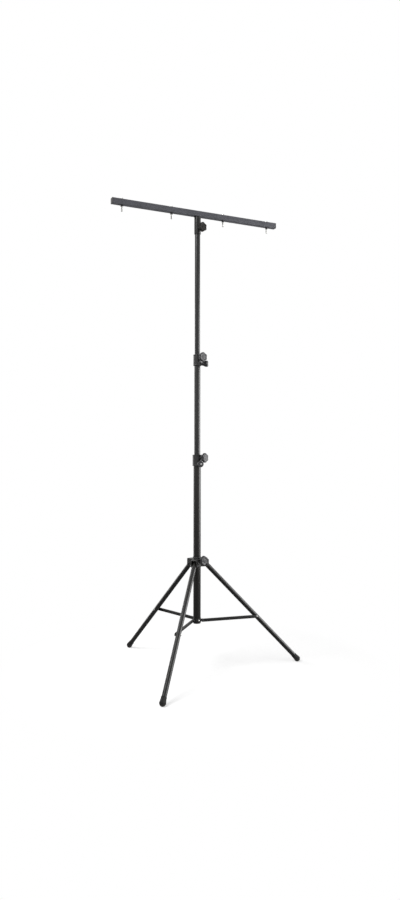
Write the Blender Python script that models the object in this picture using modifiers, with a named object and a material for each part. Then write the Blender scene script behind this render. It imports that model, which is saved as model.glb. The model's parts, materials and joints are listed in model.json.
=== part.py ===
"""Telescopic light stand: folding tripod, three-section mast and a swivelling crossbar.

Metres, +Z up. The crossbar lies along X. The origin is on the floor, in the middle of the
rectangle that the set-up stand covers. Each shape is modelled in its own frame and then placed
under the empty of the section that it moves with, which sits on that section's joint axis.
"""

import math

import bmesh
import bpy
from mathutils import Matrix, Vector

# Clearances
GAP = 0.0003                     # between two pieces that touch
SLIDE_CLEARANCE = 0.0005         # round a tube that slides through a casting
OVERCUT = 0.002                  # how far a cutter runs past the surface it cuts
BURIED = 0.001                   # how far a joined shape reaches into the other
HEAD_BURIED = 0.00025            # the same for a rivet's head on thin metal

# Facets on round pieces
TUBE_STEPS = 36
LEG_STEPS = 24
ROD_STEPS = 16
CORNER_STEPS = 4
ARC_MIDDLE = 1 - math.sqrt(0.5)  # from a rounded corner's sides to its arc, over the radius
END_ROUNDNESS = 0.9              # a bar end's corner radius over half the bar's height

# Mast tubes
LOWER_TUBE_DIAMETER = 0.048
MIDDLE_TUBE_DIAMETER = 0.040
UPPER_TUBE_DIAMETER = 0.035
TUBE_WALL = 0.0012
LOWER_TUBE_LENGTH = 1.046
MIDDLE_TUBE_LENGTH = 0.950
UPPER_TUBE_LENGTH = 1.060
MAST_END_HEIGHT = 0.302          # floor to the lower end of the mast
MIDDLE_LEFT_INSIDE = 0.3015      # middle tube still inside the lower tube, as set up
UPPER_LEFT_INSIDE = 0.124        # upper tube still inside the middle tube, as set up

# Clamp collars on the lower and middle tube
CLAMP_HEIGHT = 0.072
CLAMP_GRIP = 0.030               # how deep the outer tube sits in its collar
CLAMP_WALL = 0.0065
CLAMP_KNOB_RISE = 0.052          # collar's lower end to the clamping screw
CLAMP_PLUNGER_RISE = 0.012       # collar's lower end to the safety plunger
COLLAR_ROUNDING = 0.003

# Guide bushes in the tube mouths and guide feet on the inner tubes
BUSH_FLANGE = 0.002
BUSH_SLEEVE = 0.012
TUBE_FOOT_SLEEVE = 0.030
TUBE_FOOT_FLOOR = 0.002
TUBE_FOOT_LIP = 0.003

# Clamping screws with their star knobs
SCREW_DIAMETER = 0.008
SCREW_CHAMFER = 0.001
SCREW_IN_KNOB = 0.016
BOSS_DIAMETER = 0.020
BOSS_STAND_OUT = 0.006
KNOB_STAND_OFF = 0.005           # bare screw between boss and knob
KNOB_DIAMETER = 0.062
KNOB_LOBES = 6
KNOB_LOBE_DEPTH = 0.0040
KNOB_STEPS_PER_LOBE = 8
KNOB_HEAD_DEPTH = 0.019
KNOB_EDGE = 0.0025
KNOB_HUB_DIAMETER = 0.026
KNOB_HUB_DEPTH = 0.008

# Safety plungers under the clamping knobs
PLUNGER_PIN_DIAMETER = 0.006
PLUNGER_HEAD_DIAMETER = 0.012
PLUNGER_HEAD_DEPTH = 0.002
PLUNGER_CHAMFER = 0.001
PLUNGER_BODY_DIAMETER = 0.012
PLUNGER_NUT_WIDTH = 0.020        # across the flats
PLUNGER_NUT_DEPTH = 0.005
PLUNGER_BOSS_DIAMETER = 0.022
PLUNGER_BOSS_STAND_OUT = 0.003
PLUNGER_KNOB_DIAMETER = 0.040
PLUNGER_KNOB_NECK = 0.026        # diameter
PLUNGER_KNOB_DEPTH = 0.034
PLUNGER_KNOB_EDGE = 0.004
PLUNGER_KNOB_RIM = 0.010         # straight part of the rim
PLUNGER_KNOB_ROOT = 0.004        # straight part of the neck

# Leg collar that slides on the lower tube
LEG_COLLAR_HEIGHT = 0.065
LEG_COLLAR_WALL = 0.004
LEG_COLLAR_BOSS_STAND_OUT = 0.012
LEG_COLLAR_KNOB_RISE = 0.046     # collar's lower end to the clamping screw
LEG_PIVOT_RISE = 0.0145          # collar's lower end to the leg pivots
LEG_PIVOT_STAND_OUT = 0.0345     # collar's surface to the leg pivots
FORK_THICKNESS = 0.004
FORK_REACH = 0.0115              # fork beyond the leg pivot
FORK_TOP_RISE = 0.0365           # leg pivot to the top of the fork
FORK_ROOF = 0.004
FORK_CORNER = 0.006
FORK_WEB = 0.008                 # solid root of a fork, from the collar's surface

# Legs
LEG_ANGLES_DEG = (-10.8, 109.2, 229.2)
LEG_TILT_DEG = 43.8              # from the vertical, as set up
LEG_LENGTH = 0.9135              # pivot to the centre of the foot's round end
LEG_DIAMETER = 0.030
LEG_WALL = 0.0015
LEG_HEAD = 0.016                 # tube beyond the pivot
LEG_PLUG_FLANGE = 0.003
LEG_PLUG_INSERT = 0.006
LEG_PLUG_EDGE = 0.001
LEG_PIN_DIAMETER = 0.008
LEG_PIN_HEAD_WIDTH = 0.013       # across the flats
LEG_PIN_HEAD_DEPTH = 0.0053
LEG_PIN_NUT_DEPTH = 0.0065

# Rubber feet
FOOT_DIAMETER = 0.040
FOOT_NECK_DIAMETER = 0.0345
FOOT_HEIGHT = 0.034              # round end's centre to the foot's upper rim
FOOT_CENTRE_HEIGHT = 0.019       # floor to the centre of the round end
FOOT_BAND = 0.012                # straight upper band of the foot
FOOT_TUBE_SEAT = 0.004           # round end's centre to the leg tube's end
FOOT_ARC_STEPS = 8

# Strut hub on the mast's lower end, and the plug under it
HUB_RISE = 0.017                 # mast end to the strut pivots
HUB_HEIGHT = 0.026
HUB_WALL = 0.0025
HUB_PIVOT_STAND_OUT = 0.006      # hub's surface to the strut pivots
HUB_EAR_THICKNESS = 0.0055
HUB_EAR_ROUND = 0.0095
HUB_BOLT_DIAMETER = 0.006
HUB_BOLT_HEAD_DIAMETER = 0.011
HUB_BOLT_HEAD_DEPTH = 0.0035
HUB_BOLT_TIP = 0.002             # beyond the inner side of the tube's wall
HUB_BOLT_ANGLE_DEG = 272.0
MAST_PLUG_FLANGE = 0.004
MAST_PLUG_WALL = 0.002
MAST_PLUG_SHORT = 0.002          # from the hub bolt to the plug's upper end
MAST_PLUG_ROUNDING = 0.001

# Struts
STRUT_ON_LEG = 0.4916            # leg pivot to the strut's rivet, along the leg
STRUT_HEIGHT = 0.020
STRUT_WIDTH = 0.007
STRUT_WALL = 0.0015
RIVET_DIAMETER = 0.006
RIVET_HEAD_DIAMETER = 0.011
RIVET_HEAD_DEPTH = 0.0025

# Crossbar and its receiver
CROSSBAR_LENGTH = 1.165          # over the end caps
CROSSBAR_SIDE = 0.035
CROSSBAR_WALL = 0.002
CROSSBAR_CORNER = 0.003
CAP_FLANGE = 0.003
CAP_INSERT = 0.014
CAP_EDGE = 0.0008
RECEIVER_LENGTH = 0.112
RECEIVER_WALL = 0.0035
RECEIVER_KNOB_RISE = 0.036       # receiver's lower end to the clamping screw
RECEIVER_ROUNDING = 0.001

# Lamp bolts through the crossbar
LAMP_BOLT_PLACES = (-0.516, -0.184, 0.184, 0.516)
LAMP_BOLT_DIAMETER = 0.010
LAMP_BOLT_DROP = 0.040           # below the crossbar
LAMP_BOLT_CHAMFER = 0.001
LAMP_BOLT_HEAD_WIDTH = 0.016     # across the flats
LAMP_BOLT_HEAD_DEPTH = 0.0064
LAMP_NUT_WIDTH = 0.015           # across the flats
LAMP_NUT_DEPTH = 0.010
LAMP_NUT_FLANGE_DIAMETER = 0.021
LAMP_NUT_FLANGE_DEPTH = 0.002

# Directions of knobs and plungers round the mast
RECEIVER_KNOB_DEG = 285.0
UPPER_KNOB_DEG = 285.0
UPPER_PLUNGER_DEG = 320.0
LOWER_KNOB_DEG = 300.0
LOWER_PLUNGER_DEG = 264.0
LEG_KNOB_DEG = 289.2

# Radii that follow from the sizes above
LOWER_RADIUS = LOWER_TUBE_DIAMETER / 2
MIDDLE_RADIUS = MIDDLE_TUBE_DIAMETER / 2
UPPER_RADIUS = UPPER_TUBE_DIAMETER / 2
LEG_RADIUS = LEG_DIAMETER / 2
SCREW_RADIUS = SCREW_DIAMETER / 2
LEG_COLLAR_RADIUS = LOWER_RADIUS + SLIDE_CLEARANCE + LEG_COLLAR_WALL
LEG_PIVOT_RADIUS = LEG_COLLAR_RADIUS + LEG_PIVOT_STAND_OUT
RECEIVER_RADIUS = UPPER_RADIUS + GAP + RECEIVER_WALL
HUB_RADIUS = LOWER_RADIUS + GAP + HUB_WALL
HUB_PIVOT_RADIUS = HUB_RADIUS + HUB_PIVOT_STAND_OUT
STRUT_INNER_FACE = LEG_RADIUS + GAP
FORK_INNER_FACE = LEG_RADIUS + GAP
FORK_OUTER_FACE = FORK_INNER_FACE + FORK_THICKNESS

# Heights that follow, stacked up from the floor
LEG_TILT = math.radians(LEG_TILT_DEG)
LEG_PIVOT_HEIGHT = FOOT_CENTRE_HEIGHT + LEG_LENGTH * math.cos(LEG_TILT)
LEG_COLLAR_BOTTOM = LEG_PIVOT_HEIGHT - LEG_PIVOT_RISE
HUB_PIVOT_HEIGHT = MAST_END_HEIGHT + HUB_RISE
LOWER_TUBE_TOP = MAST_END_HEIGHT + LOWER_TUBE_LENGTH
LOWER_CLAMP_BOTTOM = LOWER_TUBE_TOP - CLAMP_GRIP
MIDDLE_TUBE_TOP = LOWER_TUBE_TOP - MIDDLE_LEFT_INSIDE + MIDDLE_TUBE_LENGTH
UPPER_TUBE_TOP = MIDDLE_TUBE_TOP - UPPER_LEFT_INSIDE + UPPER_TUBE_LENGTH
RECEIVER_BOTTOM = UPPER_TUBE_TOP - RECEIVER_LENGTH
CROSSBAR_BOTTOM = UPPER_TUBE_TOP + GAP

# Feet and strut joints in a leg's own upright plane: distance from the mast, height
FOOT_SPREAD = LEG_PIVOT_RADIUS + LEG_LENGTH * math.sin(LEG_TILT)
STRUT_END_RADIUS = LEG_PIVOT_RADIUS + STRUT_ON_LEG * math.sin(LEG_TILT)
STRUT_END_HEIGHT = LEG_PIVOT_HEIGHT - STRUT_ON_LEG * math.cos(LEG_TILT)
STRUT_RUN = STRUT_END_RADIUS - HUB_PIVOT_RADIUS
STRUT_RISE = STRUT_END_HEIGHT - HUB_PIVOT_HEIGHT
STRUT_LENGTH = math.hypot(STRUT_RUN, STRUT_RISE)
STRUT_TILT = math.atan2(STRUT_RISE, STRUT_RUN)


def mast_place():
    """Where the mast stands, so that the covered rectangle is centred on the origin."""
    reach = FOOT_DIAMETER / 2
    xs = [-CROSSBAR_LENGTH / 2, CROSSBAR_LENGTH / 2]
    ys = []
    for angle in LEG_ANGLES_DEG:
        x = FOOT_SPREAD * math.cos(math.radians(angle))
        y = FOOT_SPREAD * math.sin(math.radians(angle))
        xs += [x - reach, x + reach]
        ys += [y - reach, y + reach]
    return -(min(xs) + max(xs)) / 2, -(min(ys) + max(ys)) / 2


MAST_X, MAST_Y = mast_place()


# Scene

def clear_scene():
    for old in list(bpy.data.objects):
        bpy.data.objects.remove(old, do_unlink=True)


def new_collection(name):
    collection = bpy.data.collections.new(name)
    bpy.context.scene.collection.children.link(collection)
    return collection


clear_scene()
STAND = new_collection("light_stand")
WORKSHOP = new_collection("light_stand_workshop")


# Materials

def finish(name, colour, roughness, metallic=0.0):
    material = bpy.data.materials.new(name)
    material.use_nodes = True
    shader = material.node_tree.nodes["Principled BSDF"]
    shader.inputs["Base Color"].default_value = (*colour, 1.0)
    shader.inputs["Roughness"].default_value = roughness
    shader.inputs["Metallic"].default_value = metallic
    material.diffuse_color = (*colour, 1.0)
    return material


COAT = dict(colour=(0.030, 0.030, 0.030), roughness=0.40)
BAR_COAT = dict(colour=(0.085, 0.085, 0.095), roughness=0.45)
PLASTIC = dict(colour=(0.035, 0.034, 0.034), roughness=0.50)
NYLON = dict(colour=(0.020, 0.020, 0.020), roughness=0.60)
RUBBER = dict(colour=(0.018, 0.018, 0.018), roughness=0.80)
ZINC = dict(colour=(0.62, 0.62, 0.60), roughness=0.35, metallic=1.0)
BLACK_ZINC = dict(colour=(0.085, 0.085, 0.088), roughness=0.42, metallic=1.0)


# Shapes: each function gives a closed mesh in the piece's own frame

def settle(obj):
    """The object's mesh with its modifiers, and the object itself taken away."""
    graph = bpy.context.evaluated_depsgraph_get()
    mesh = bpy.data.meshes.new_from_object(obj.evaluated_get(graph))
    bpy.data.objects.remove(obj, do_unlink=True)
    return mesh


def workpiece(data):
    obj = bpy.data.objects.new("workpiece", data)
    WORKSHOP.objects.link(obj)
    return obj


def mesh_of(bm):
    mesh = bpy.data.meshes.new("shape")
    bm.to_mesh(mesh)
    bm.free()
    return mesh


def turned(profile, steps=TUBE_STEPS, closed=True):
    """Profile of (radius, z) turned about Z. It runs down the outer side, top to bottom."""
    mesh = bpy.data.meshes.new("profile")
    count = len(profile)
    edges = [(i, i + 1) for i in range(count - 1)]
    if closed:
        edges.append((count - 1, 0))
    mesh.from_pydata([(radius, 0.0, z) for radius, z in profile], edges, [])
    obj = workpiece(mesh)
    screw = obj.modifiers.new("turn", "SCREW")
    screw.axis = "Z"
    screw.angle = math.tau
    screw.steps = steps
    screw.render_steps = steps
    screw.use_merge_vertices = True
    screw.merge_threshold = 0.00005
    return settle(obj)


def pipe(radius, wall, bottom, top, steps=TUBE_STEPS):
    inner = radius - wall
    return turned([(radius, top), (radius, bottom), (inner, bottom), (inner, top)], steps)


def rod(radius, start, end, steps=ROD_STEPS, place=Matrix(), end_radius=None):
    """Cylinder or cone from start to end along the Z of its place, or a prism with few steps."""
    bm = bmesh.new()
    far = radius if end_radius is None else end_radius
    bmesh.ops.create_cone(
        bm,
        cap_ends=True,
        segments=steps,
        radius1=radius,
        radius2=far,
        depth=end - start,
        matrix=place @ Matrix.Translation((0, 0, (start + end) / 2)),
    )
    return mesh_of(bm)


def hexagon(width, start, end, place=Matrix()):
    """Hexagonal prism, its width measured across the flats."""
    return rod(width / math.sqrt(3), start, end, 6, place)


def block(size, place):
    bm = bmesh.new()
    scale = Matrix.Diagonal((*size, 1.0))
    bmesh.ops.create_cube(bm, size=1.0, matrix=place @ scale)
    return mesh_of(bm)


def boolean(mesh, others, operation):
    obj = workpiece(mesh)
    helpers = [workpiece(other) for other in others]
    for helper in helpers:
        modifier = obj.modifiers.new(operation.lower(), "BOOLEAN")
        modifier.operation = operation
        modifier.solver = "EXACT"
        modifier.object = helper
    result = settle(obj)
    for helper in helpers:
        bpy.data.objects.remove(helper, do_unlink=True)
    return result


def joined(mesh, *others):
    return boolean(mesh, others, "UNION")


def cut(mesh, *others):
    return boolean(mesh, others, "DIFFERENCE")


def bevelled(mesh, width, segments=2, angle_deg=50.0):
    obj = workpiece(mesh)
    bevel = obj.modifiers.new("edges", "BEVEL")
    bevel.width = width
    bevel.segments = segments
    bevel.limit_method = "ANGLE"
    bevel.angle_limit = math.radians(angle_deg)
    return settle(obj)


def rounded(corners, radius):
    """Outline through the corners, listed anticlockwise, with each corner an arc."""
    points = []
    count = len(corners)
    for i, corner in enumerate(corners):
        here = Vector(corner)
        before = (Vector(corners[i - 1]) - here).normalized()
        after = (Vector(corners[(i + 1) % count]) - here).normalized()
        half = before.angle(after) / 2
        bisector = (before + after).normalized()
        centre = here + bisector * (radius / math.sin(half))
        first = here + before * (radius / math.tan(half)) - centre
        sweep = math.pi - 2 * half
        for step in range(CORNER_STEPS + 1):
            turn = Matrix.Rotation(sweep * step / CORNER_STEPS, 2)
            points.append(centre + turn @ first)
    return points


def flat_solid(outlines, thickness, place=Matrix()):
    """Flat outlines filled and given a thickness, centred on the XY plane of their place."""
    curve = bpy.data.curves.new("outline", "CURVE")
    curve.dimensions = "2D"
    curve.fill_mode = "BOTH"
    curve.extrude = thickness / 2
    for outline in outlines:
        spline = curve.splines.new("POLY")
        spline.points.add(len(outline) - 1)
        for point, spot in zip(spline.points, outline):
            point.co = (spot[0], spot[1], 0.0, 1.0)
        spline.use_cyclic_u = True
    mesh = settle(workpiece(curve))
    bm = bmesh.new()
    bm.from_mesh(mesh)
    bmesh.ops.remove_doubles(bm, verts=bm.verts, dist=0.00001)
    bmesh.ops.recalc_face_normals(bm, faces=bm.faces)
    bmesh.ops.transform(bm, matrix=place, verts=bm.verts)
    return mesh_of(bm)


# Places within a section's frame

def radial(angle_deg, height):
    """Z points away from the mast, at this angle and height."""
    return (
        Matrix.Rotation(math.radians(angle_deg), 4, "Z")
        @ Matrix.Translation((0, 0, height))
        @ Matrix.Rotation(math.pi / 2, 4, "Y")
    )


def sideways(x, z):
    """Z points along the frame's Y, through this spot of the XZ plane."""
    return Matrix.Translation((x, 0, z)) @ Matrix.Rotation(-math.pi / 2, 4, "X")


def upright(y=0.0):
    """The XY plane of an outline becomes the frame's XZ plane, moved along Y."""
    return Matrix.Translation((0, y, 0)) @ Matrix.Rotation(math.pi / 2, 4, "X")


def round_about(angle_deg):
    return Matrix.Rotation(math.radians(angle_deg), 4, "Z")


# Putting pieces and sections in the scene

def section(name, parent=None, location=(0, 0, 0), rotation=(0, 0, 0)):
    """An empty on a joint's axis, which carries the pieces of one moving section."""
    empty = bpy.data.objects.new(name, None)
    empty.parent = parent
    empty.location = location
    empty.rotation_euler = rotation
    STAND.objects.link(empty)
    return empty


def piece(name, mesh, look, parent, location=(0, 0, 0), rotation=(0, 0, 0)):
    mesh.name = name
    mesh.shade_smooth()
    mesh.set_sharp_from_angle(angle=math.radians(35))
    mesh.materials.clear()
    mesh.materials.append(finish(name, **look))
    obj = bpy.data.objects.new(name, mesh)
    obj.parent = parent
    obj.location = location
    obj.rotation_euler = rotation
    STAND.objects.link(obj)
    return obj


# Mast

def lower_tube_shape():
    """Lower tube from its end, with the holes for the hub bolt and the safety plunger."""
    plunger_height = LOWER_TUBE_LENGTH - CLAMP_GRIP + CLAMP_PLUNGER_RISE
    bolt_hole = rod(
        HUB_BOLT_DIAMETER / 2 + GAP, 0, LOWER_RADIUS + OVERCUT,
        place=radial(HUB_BOLT_ANGLE_DEG, HUB_RISE),
    )
    plunger_hole = rod(
        PLUNGER_PIN_DIAMETER / 2 + GAP, 0, LOWER_RADIUS + OVERCUT,
        place=radial(LOWER_PLUNGER_DEG, plunger_height),
    )
    return cut(pipe(LOWER_RADIUS, TUBE_WALL, 0, LOWER_TUBE_LENGTH), bolt_hole, plunger_hole)


def middle_tube_shape():
    """Middle tube hanging down from its upper end, with the hole for the safety plunger."""
    plunger_hole = rod(
        PLUNGER_PIN_DIAMETER / 2 + GAP, 0, MIDDLE_RADIUS + OVERCUT,
        place=radial(UPPER_PLUNGER_DEG, CLAMP_PLUNGER_RISE - CLAMP_GRIP),
    )
    return cut(pipe(MIDDLE_RADIUS, TUBE_WALL, -MIDDLE_TUBE_LENGTH, 0), plunger_hole)


def mast_plug_shape():
    """Plug for the mast's lower end, hollow from above, its insert short of the hub bolt."""
    bore = LOWER_RADIUS - TUBE_WALL - GAP
    insert = HUB_RISE - HUB_BOLT_DIAMETER / 2 - MAST_PLUG_SHORT
    cup = bore - MAST_PLUG_WALL
    edge = MAST_PLUG_ROUNDING
    return turned(
        [
            (0, 0),
            (cup, 0),
            (cup, insert),
            (bore, insert),
            (bore, -GAP),
            (LOWER_RADIUS, -GAP),
            (LOWER_RADIUS, edge - MAST_PLUG_FLANGE),
            (LOWER_RADIUS - edge, -MAST_PLUG_FLANGE),
            (0, -MAST_PLUG_FLANGE),
        ],
        closed=False,
    )


def bush_shape(outer_radius, inner_radius):
    """Flanged guide bush in the mouth of an outer tube, seen from the tube's end."""
    bore = inner_radius + GAP
    sleeve = outer_radius - TUBE_WALL - GAP
    return turned(
        [
            (outer_radius, GAP + BUSH_FLANGE),
            (outer_radius, GAP),
            (sleeve, GAP),
            (sleeve, -BUSH_SLEEVE),
            (bore, -BUSH_SLEEVE),
            (bore, GAP + BUSH_FLANGE),
        ]
    )


def tube_foot_shape(outer_radius, inner_radius):
    """Guide foot over the lower end of an inner tube, seen from that end."""
    slide = outer_radius - TUBE_WALL - GAP
    seat = inner_radius + GAP
    lip = inner_radius - TUBE_WALL - TUBE_FOOT_LIP
    return turned(
        [
            (slide, TUBE_FOOT_SLEEVE),
            (slide, -GAP - TUBE_FOOT_FLOOR),
            (lip, -GAP - TUBE_FOOT_FLOOR),
            (lip, -GAP),
            (seat, -GAP),
            (seat, TUBE_FOOT_SLEEVE),
        ]
    )


# Clamps

def clamp_radius(outer_radius):
    return outer_radius + GAP + CLAMP_WALL


def clamp_collar_shape(outer_radius, inner_radius, knob_deg, plunger_deg):
    """Collar on the outer tube's end, with one boss for the screw and one for the plunger."""
    skin = clamp_radius(outer_radius)
    seat = outer_radius + GAP
    throat = inner_radius + SLIDE_CLEARANCE
    shoulder = CLAMP_GRIP + GAP + BUSH_FLANGE + GAP
    edge = COLLAR_ROUNDING
    body = turned(
        [
            (skin - edge, CLAMP_HEIGHT),
            (skin - edge * ARC_MIDDLE, CLAMP_HEIGHT - edge * ARC_MIDDLE),
            (skin, CLAMP_HEIGHT - edge),
            (skin, edge),
            (skin - edge * ARC_MIDDLE, edge * ARC_MIDDLE),
            (skin - edge, 0),
            (seat, 0),
            (seat, shoulder),
            (throat, shoulder),
            (throat, CLAMP_HEIGHT),
        ]
    )
    at_knob = radial(knob_deg, CLAMP_KNOB_RISE)
    at_plunger = radial(plunger_deg, CLAMP_PLUNGER_RISE)
    root = skin - CLAMP_WALL / 2
    boss = rod(BOSS_DIAMETER / 2, root, skin + BOSS_STAND_OUT, place=at_knob)
    plunger_boss = rod(
        PLUNGER_BOSS_DIAMETER / 2, root, skin + PLUNGER_BOSS_STAND_OUT, place=at_plunger
    )
    screw_hole = rod(SCREW_RADIUS + GAP, 0, skin + BOSS_STAND_OUT + OVERCUT, place=at_knob)
    plunger_hole = rod(
        PLUNGER_BODY_DIAMETER / 2 + GAP, 0, skin + PLUNGER_BOSS_STAND_OUT + OVERCUT,
        place=at_plunger,
    )
    return cut(joined(body, boss, plunger_boss), screw_hole, plunger_hole)


def plunger_body_shape(outer_radius):
    """Threaded sleeve of a plunger with its hexagon, along Z from the mast's axis."""
    start = outer_radius + GAP
    nut_start = clamp_radius(outer_radius) + PLUNGER_BOSS_STAND_OUT + GAP
    nut_end = nut_start + PLUNGER_NUT_DEPTH
    sleeve = rod(PLUNGER_BODY_DIAMETER / 2, start, nut_start + BURIED)
    nut = hexagon(PLUNGER_NUT_WIDTH, nut_start, nut_end)
    bore = rod(PLUNGER_PIN_DIAMETER / 2 + GAP, start - OVERCUT, nut_end + OVERCUT)
    return cut(joined(nut, sleeve), bore)


def plunger_knob_start(outer_radius):
    nut_start = clamp_radius(outer_radius) + PLUNGER_BOSS_STAND_OUT + GAP
    return nut_start + PLUNGER_NUT_DEPTH + GAP


def plunger_knob_shape(outer_radius):
    """Mushroom-shaped pull knob of a plunger, along Z from the mast's axis."""
    start = plunger_knob_start(outer_radius)
    end = start + PLUNGER_KNOB_DEPTH
    bore = PLUNGER_PIN_DIAMETER / 2 + GAP
    rim = PLUNGER_KNOB_DIAMETER / 2
    neck = PLUNGER_KNOB_NECK / 2
    edge = PLUNGER_KNOB_EDGE
    return turned(
        [
            (rim - edge, end),
            (rim - edge * ARC_MIDDLE, end - edge * ARC_MIDDLE),
            (rim, end - edge),
            (rim, end - edge - PLUNGER_KNOB_RIM),
            (neck, start + PLUNGER_KNOB_ROOT),
            (neck, start),
            (bore, start),
            (bore, end),
        ],
        steps=ROD_STEPS,
    )


def plunger_pin_shape(outer_radius, inner_radius):
    """Plunger pin from just off the inner tube to its head on the pull knob's face."""
    tip = inner_radius + GAP
    face = plunger_knob_start(outer_radius) + PLUNGER_KNOB_DEPTH + GAP
    radius = PLUNGER_PIN_DIAMETER / 2
    head = PLUNGER_HEAD_DIAMETER / 2
    chamfer = PLUNGER_CHAMFER
    return turned(
        [
            (0, face + PLUNGER_HEAD_DEPTH),
            (head - chamfer, face + PLUNGER_HEAD_DEPTH),
            (head, face + PLUNGER_HEAD_DEPTH - chamfer),
            (head, face),
            (radius, face),
            (radius, tip + chamfer),
            (radius - chamfer, tip),
            (0, tip),
        ],
        steps=ROD_STEPS,
        closed=False,
    )


# Clamping screws and knobs

def screw_shape(tip, knob_start):
    """Clamping screw along Z from the mast's axis, from the clamped tube into the knob."""
    radius = SCREW_RADIUS
    end = knob_start + SCREW_IN_KNOB
    return turned(
        [
            (0, end),
            (radius, end),
            (radius, tip + SCREW_CHAMFER),
            (radius - SCREW_CHAMFER, tip),
            (0, tip),
        ],
        steps=ROD_STEPS,
        closed=False,
    )


def knob_shape():
    """Star knob along Z from the end of its hub, with a blind bore for the screw."""
    bm = bmesh.new()
    radius = KNOB_DIAMETER / 2
    bmesh.ops.create_cone(
        bm,
        cap_ends=True,
        segments=KNOB_LOBES * KNOB_STEPS_PER_LOBE,
        radius1=radius,
        radius2=radius,
        depth=KNOB_HEAD_DEPTH,
        matrix=Matrix.Translation((0, 0, KNOB_HUB_DEPTH + KNOB_HEAD_DEPTH / 2)),
    )
    for vert in bm.verts:
        angle = math.atan2(vert.co.y, vert.co.x)
        hollow = 0.5 - 0.5 * math.cos(KNOB_LOBES * angle)
        shrink = 1 - hollow * KNOB_LOBE_DEPTH / radius
        vert.co.x *= shrink
        vert.co.y *= shrink
    head = bevelled(mesh_of(bm), KNOB_EDGE)
    hub = rod(KNOB_HUB_DIAMETER / 2, 0, KNOB_HUB_DEPTH + BURIED, TUBE_STEPS)
    bore = rod(SCREW_RADIUS + GAP, -OVERCUT, SCREW_IN_KNOB + GAP)
    return cut(joined(head, hub), bore)


def add_knob(knob_name, screw_name, parent, angle_deg, height, tip, boss_end):
    """A knob with its screw, both turning about the screw's axis."""
    start = boss_end + KNOB_STAND_OFF
    axis = section(
        knob_name + "_axis", parent, (0, 0, height), (0, math.pi / 2, math.radians(angle_deg))
    )
    piece(screw_name, screw_shape(tip, start), ZINC, axis)
    piece(knob_name, knob_shape(), PLASTIC, axis, (0, 0, start))


def add_clamp(prefix, parent, bottom, outer_radius, inner_radius, knob_deg, plunger_deg):
    """A clamp collar with its bush, screw, knob and plunger, on the end of an outer tube."""
    collar = clamp_collar_shape(outer_radius, inner_radius, knob_deg, plunger_deg)
    piece(prefix + "_clamp_collar", collar, COAT, parent, (0, 0, bottom))
    bush = bush_shape(outer_radius, inner_radius)
    piece(prefix + "_clamp_bush", bush, NYLON, parent, (0, 0, bottom + CLAMP_GRIP))
    boss_end = clamp_radius(outer_radius) + BOSS_STAND_OUT
    add_knob(
        prefix + "_clamp_knob", prefix + "_clamp_screw", parent, knob_deg,
        bottom + CLAMP_KNOB_RISE, inner_radius + GAP, boss_end,
    )
    turn = (0, math.pi / 2, math.radians(plunger_deg))
    height = bottom + CLAMP_PLUNGER_RISE
    piece(
        prefix + "_plunger_body", plunger_body_shape(outer_radius), BLACK_ZINC, parent,
        (0, 0, height), turn,
    )
    axis = section(prefix + "_plunger_axis", parent, (0, 0, height), turn)
    pin = plunger_pin_shape(outer_radius, inner_radius)
    piece(prefix + "_plunger_pin", pin, ZINC, axis)
    piece(prefix + "_plunger_knob", plunger_knob_shape(outer_radius), PLASTIC, axis)


# Tripod

def leg_collar_shape():
    """Sliding collar with a fork for each leg and a boss for the clamping screw."""
    edge = COLLAR_ROUNDING
    skin = LEG_COLLAR_RADIUS
    root = skin - LEG_COLLAR_WALL / 2
    bore = LOWER_RADIUS + SLIDE_CLEARANCE
    top = LEG_COLLAR_HEIGHT
    body = turned(
        [
            (0, top),
            (skin - edge, top),
            (skin, top - edge),
            (skin, edge),
            (skin - edge, 0),
            (0, 0),
        ],
        closed=False,
    )
    forks = [fork_shape(angle) for angle in LEG_ANGLES_DEG]
    at_knob = radial(LEG_KNOB_DEG, LEG_COLLAR_KNOB_RISE)
    boss_end = skin + LEG_COLLAR_BOSS_STAND_OUT
    boss = rod(BOSS_DIAMETER / 2, root, boss_end, place=at_knob)
    screw_hole = rod(SCREW_RADIUS + GAP, 0, boss_end + OVERCUT, place=at_knob)
    solid = joined(body, boss, *forks)
    core = rod(bore, -OVERCUT, top + OVERCUT, TUBE_STEPS)
    return cut(solid, core, screw_hole)


def fork_shape(angle_deg):
    """Two cheeks and a roof that hold one leg's head, with the hole for its pin."""
    inner = LEG_COLLAR_RADIUS / 2  # the collar's bore trims it
    outer = LEG_PIVOT_RADIUS + FORK_REACH
    low = LEG_PIVOT_RISE - FORK_REACH
    high = LEG_PIVOT_RISE + FORK_TOP_RISE
    outline = rounded([(inner, low), (outer, low), (outer, high), (inner, high)], FORK_CORNER)
    solid = flat_solid([outline], 2 * FORK_OUTER_FACE, upright())
    slot_start = LEG_COLLAR_RADIUS + FORK_WEB
    slot_end = outer + OVERCUT
    slot_low = low - OVERCUT
    slot_high = high - FORK_ROOF
    slot = block(
        (slot_end - slot_start, 2 * FORK_INNER_FACE, slot_high - slot_low),
        Matrix.Translation(((slot_start + slot_end) / 2, 0, (slot_low + slot_high) / 2)),
    )
    reach = FORK_OUTER_FACE + OVERCUT
    pin_hole = rod(
        LEG_PIN_DIAMETER / 2 + GAP, -reach, reach,
        place=sideways(LEG_PIVOT_RADIUS, LEG_PIVOT_RISE),
    )
    mesh = cut(solid, slot, pin_hole)
    mesh.transform(round_about(angle_deg))
    return mesh


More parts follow.
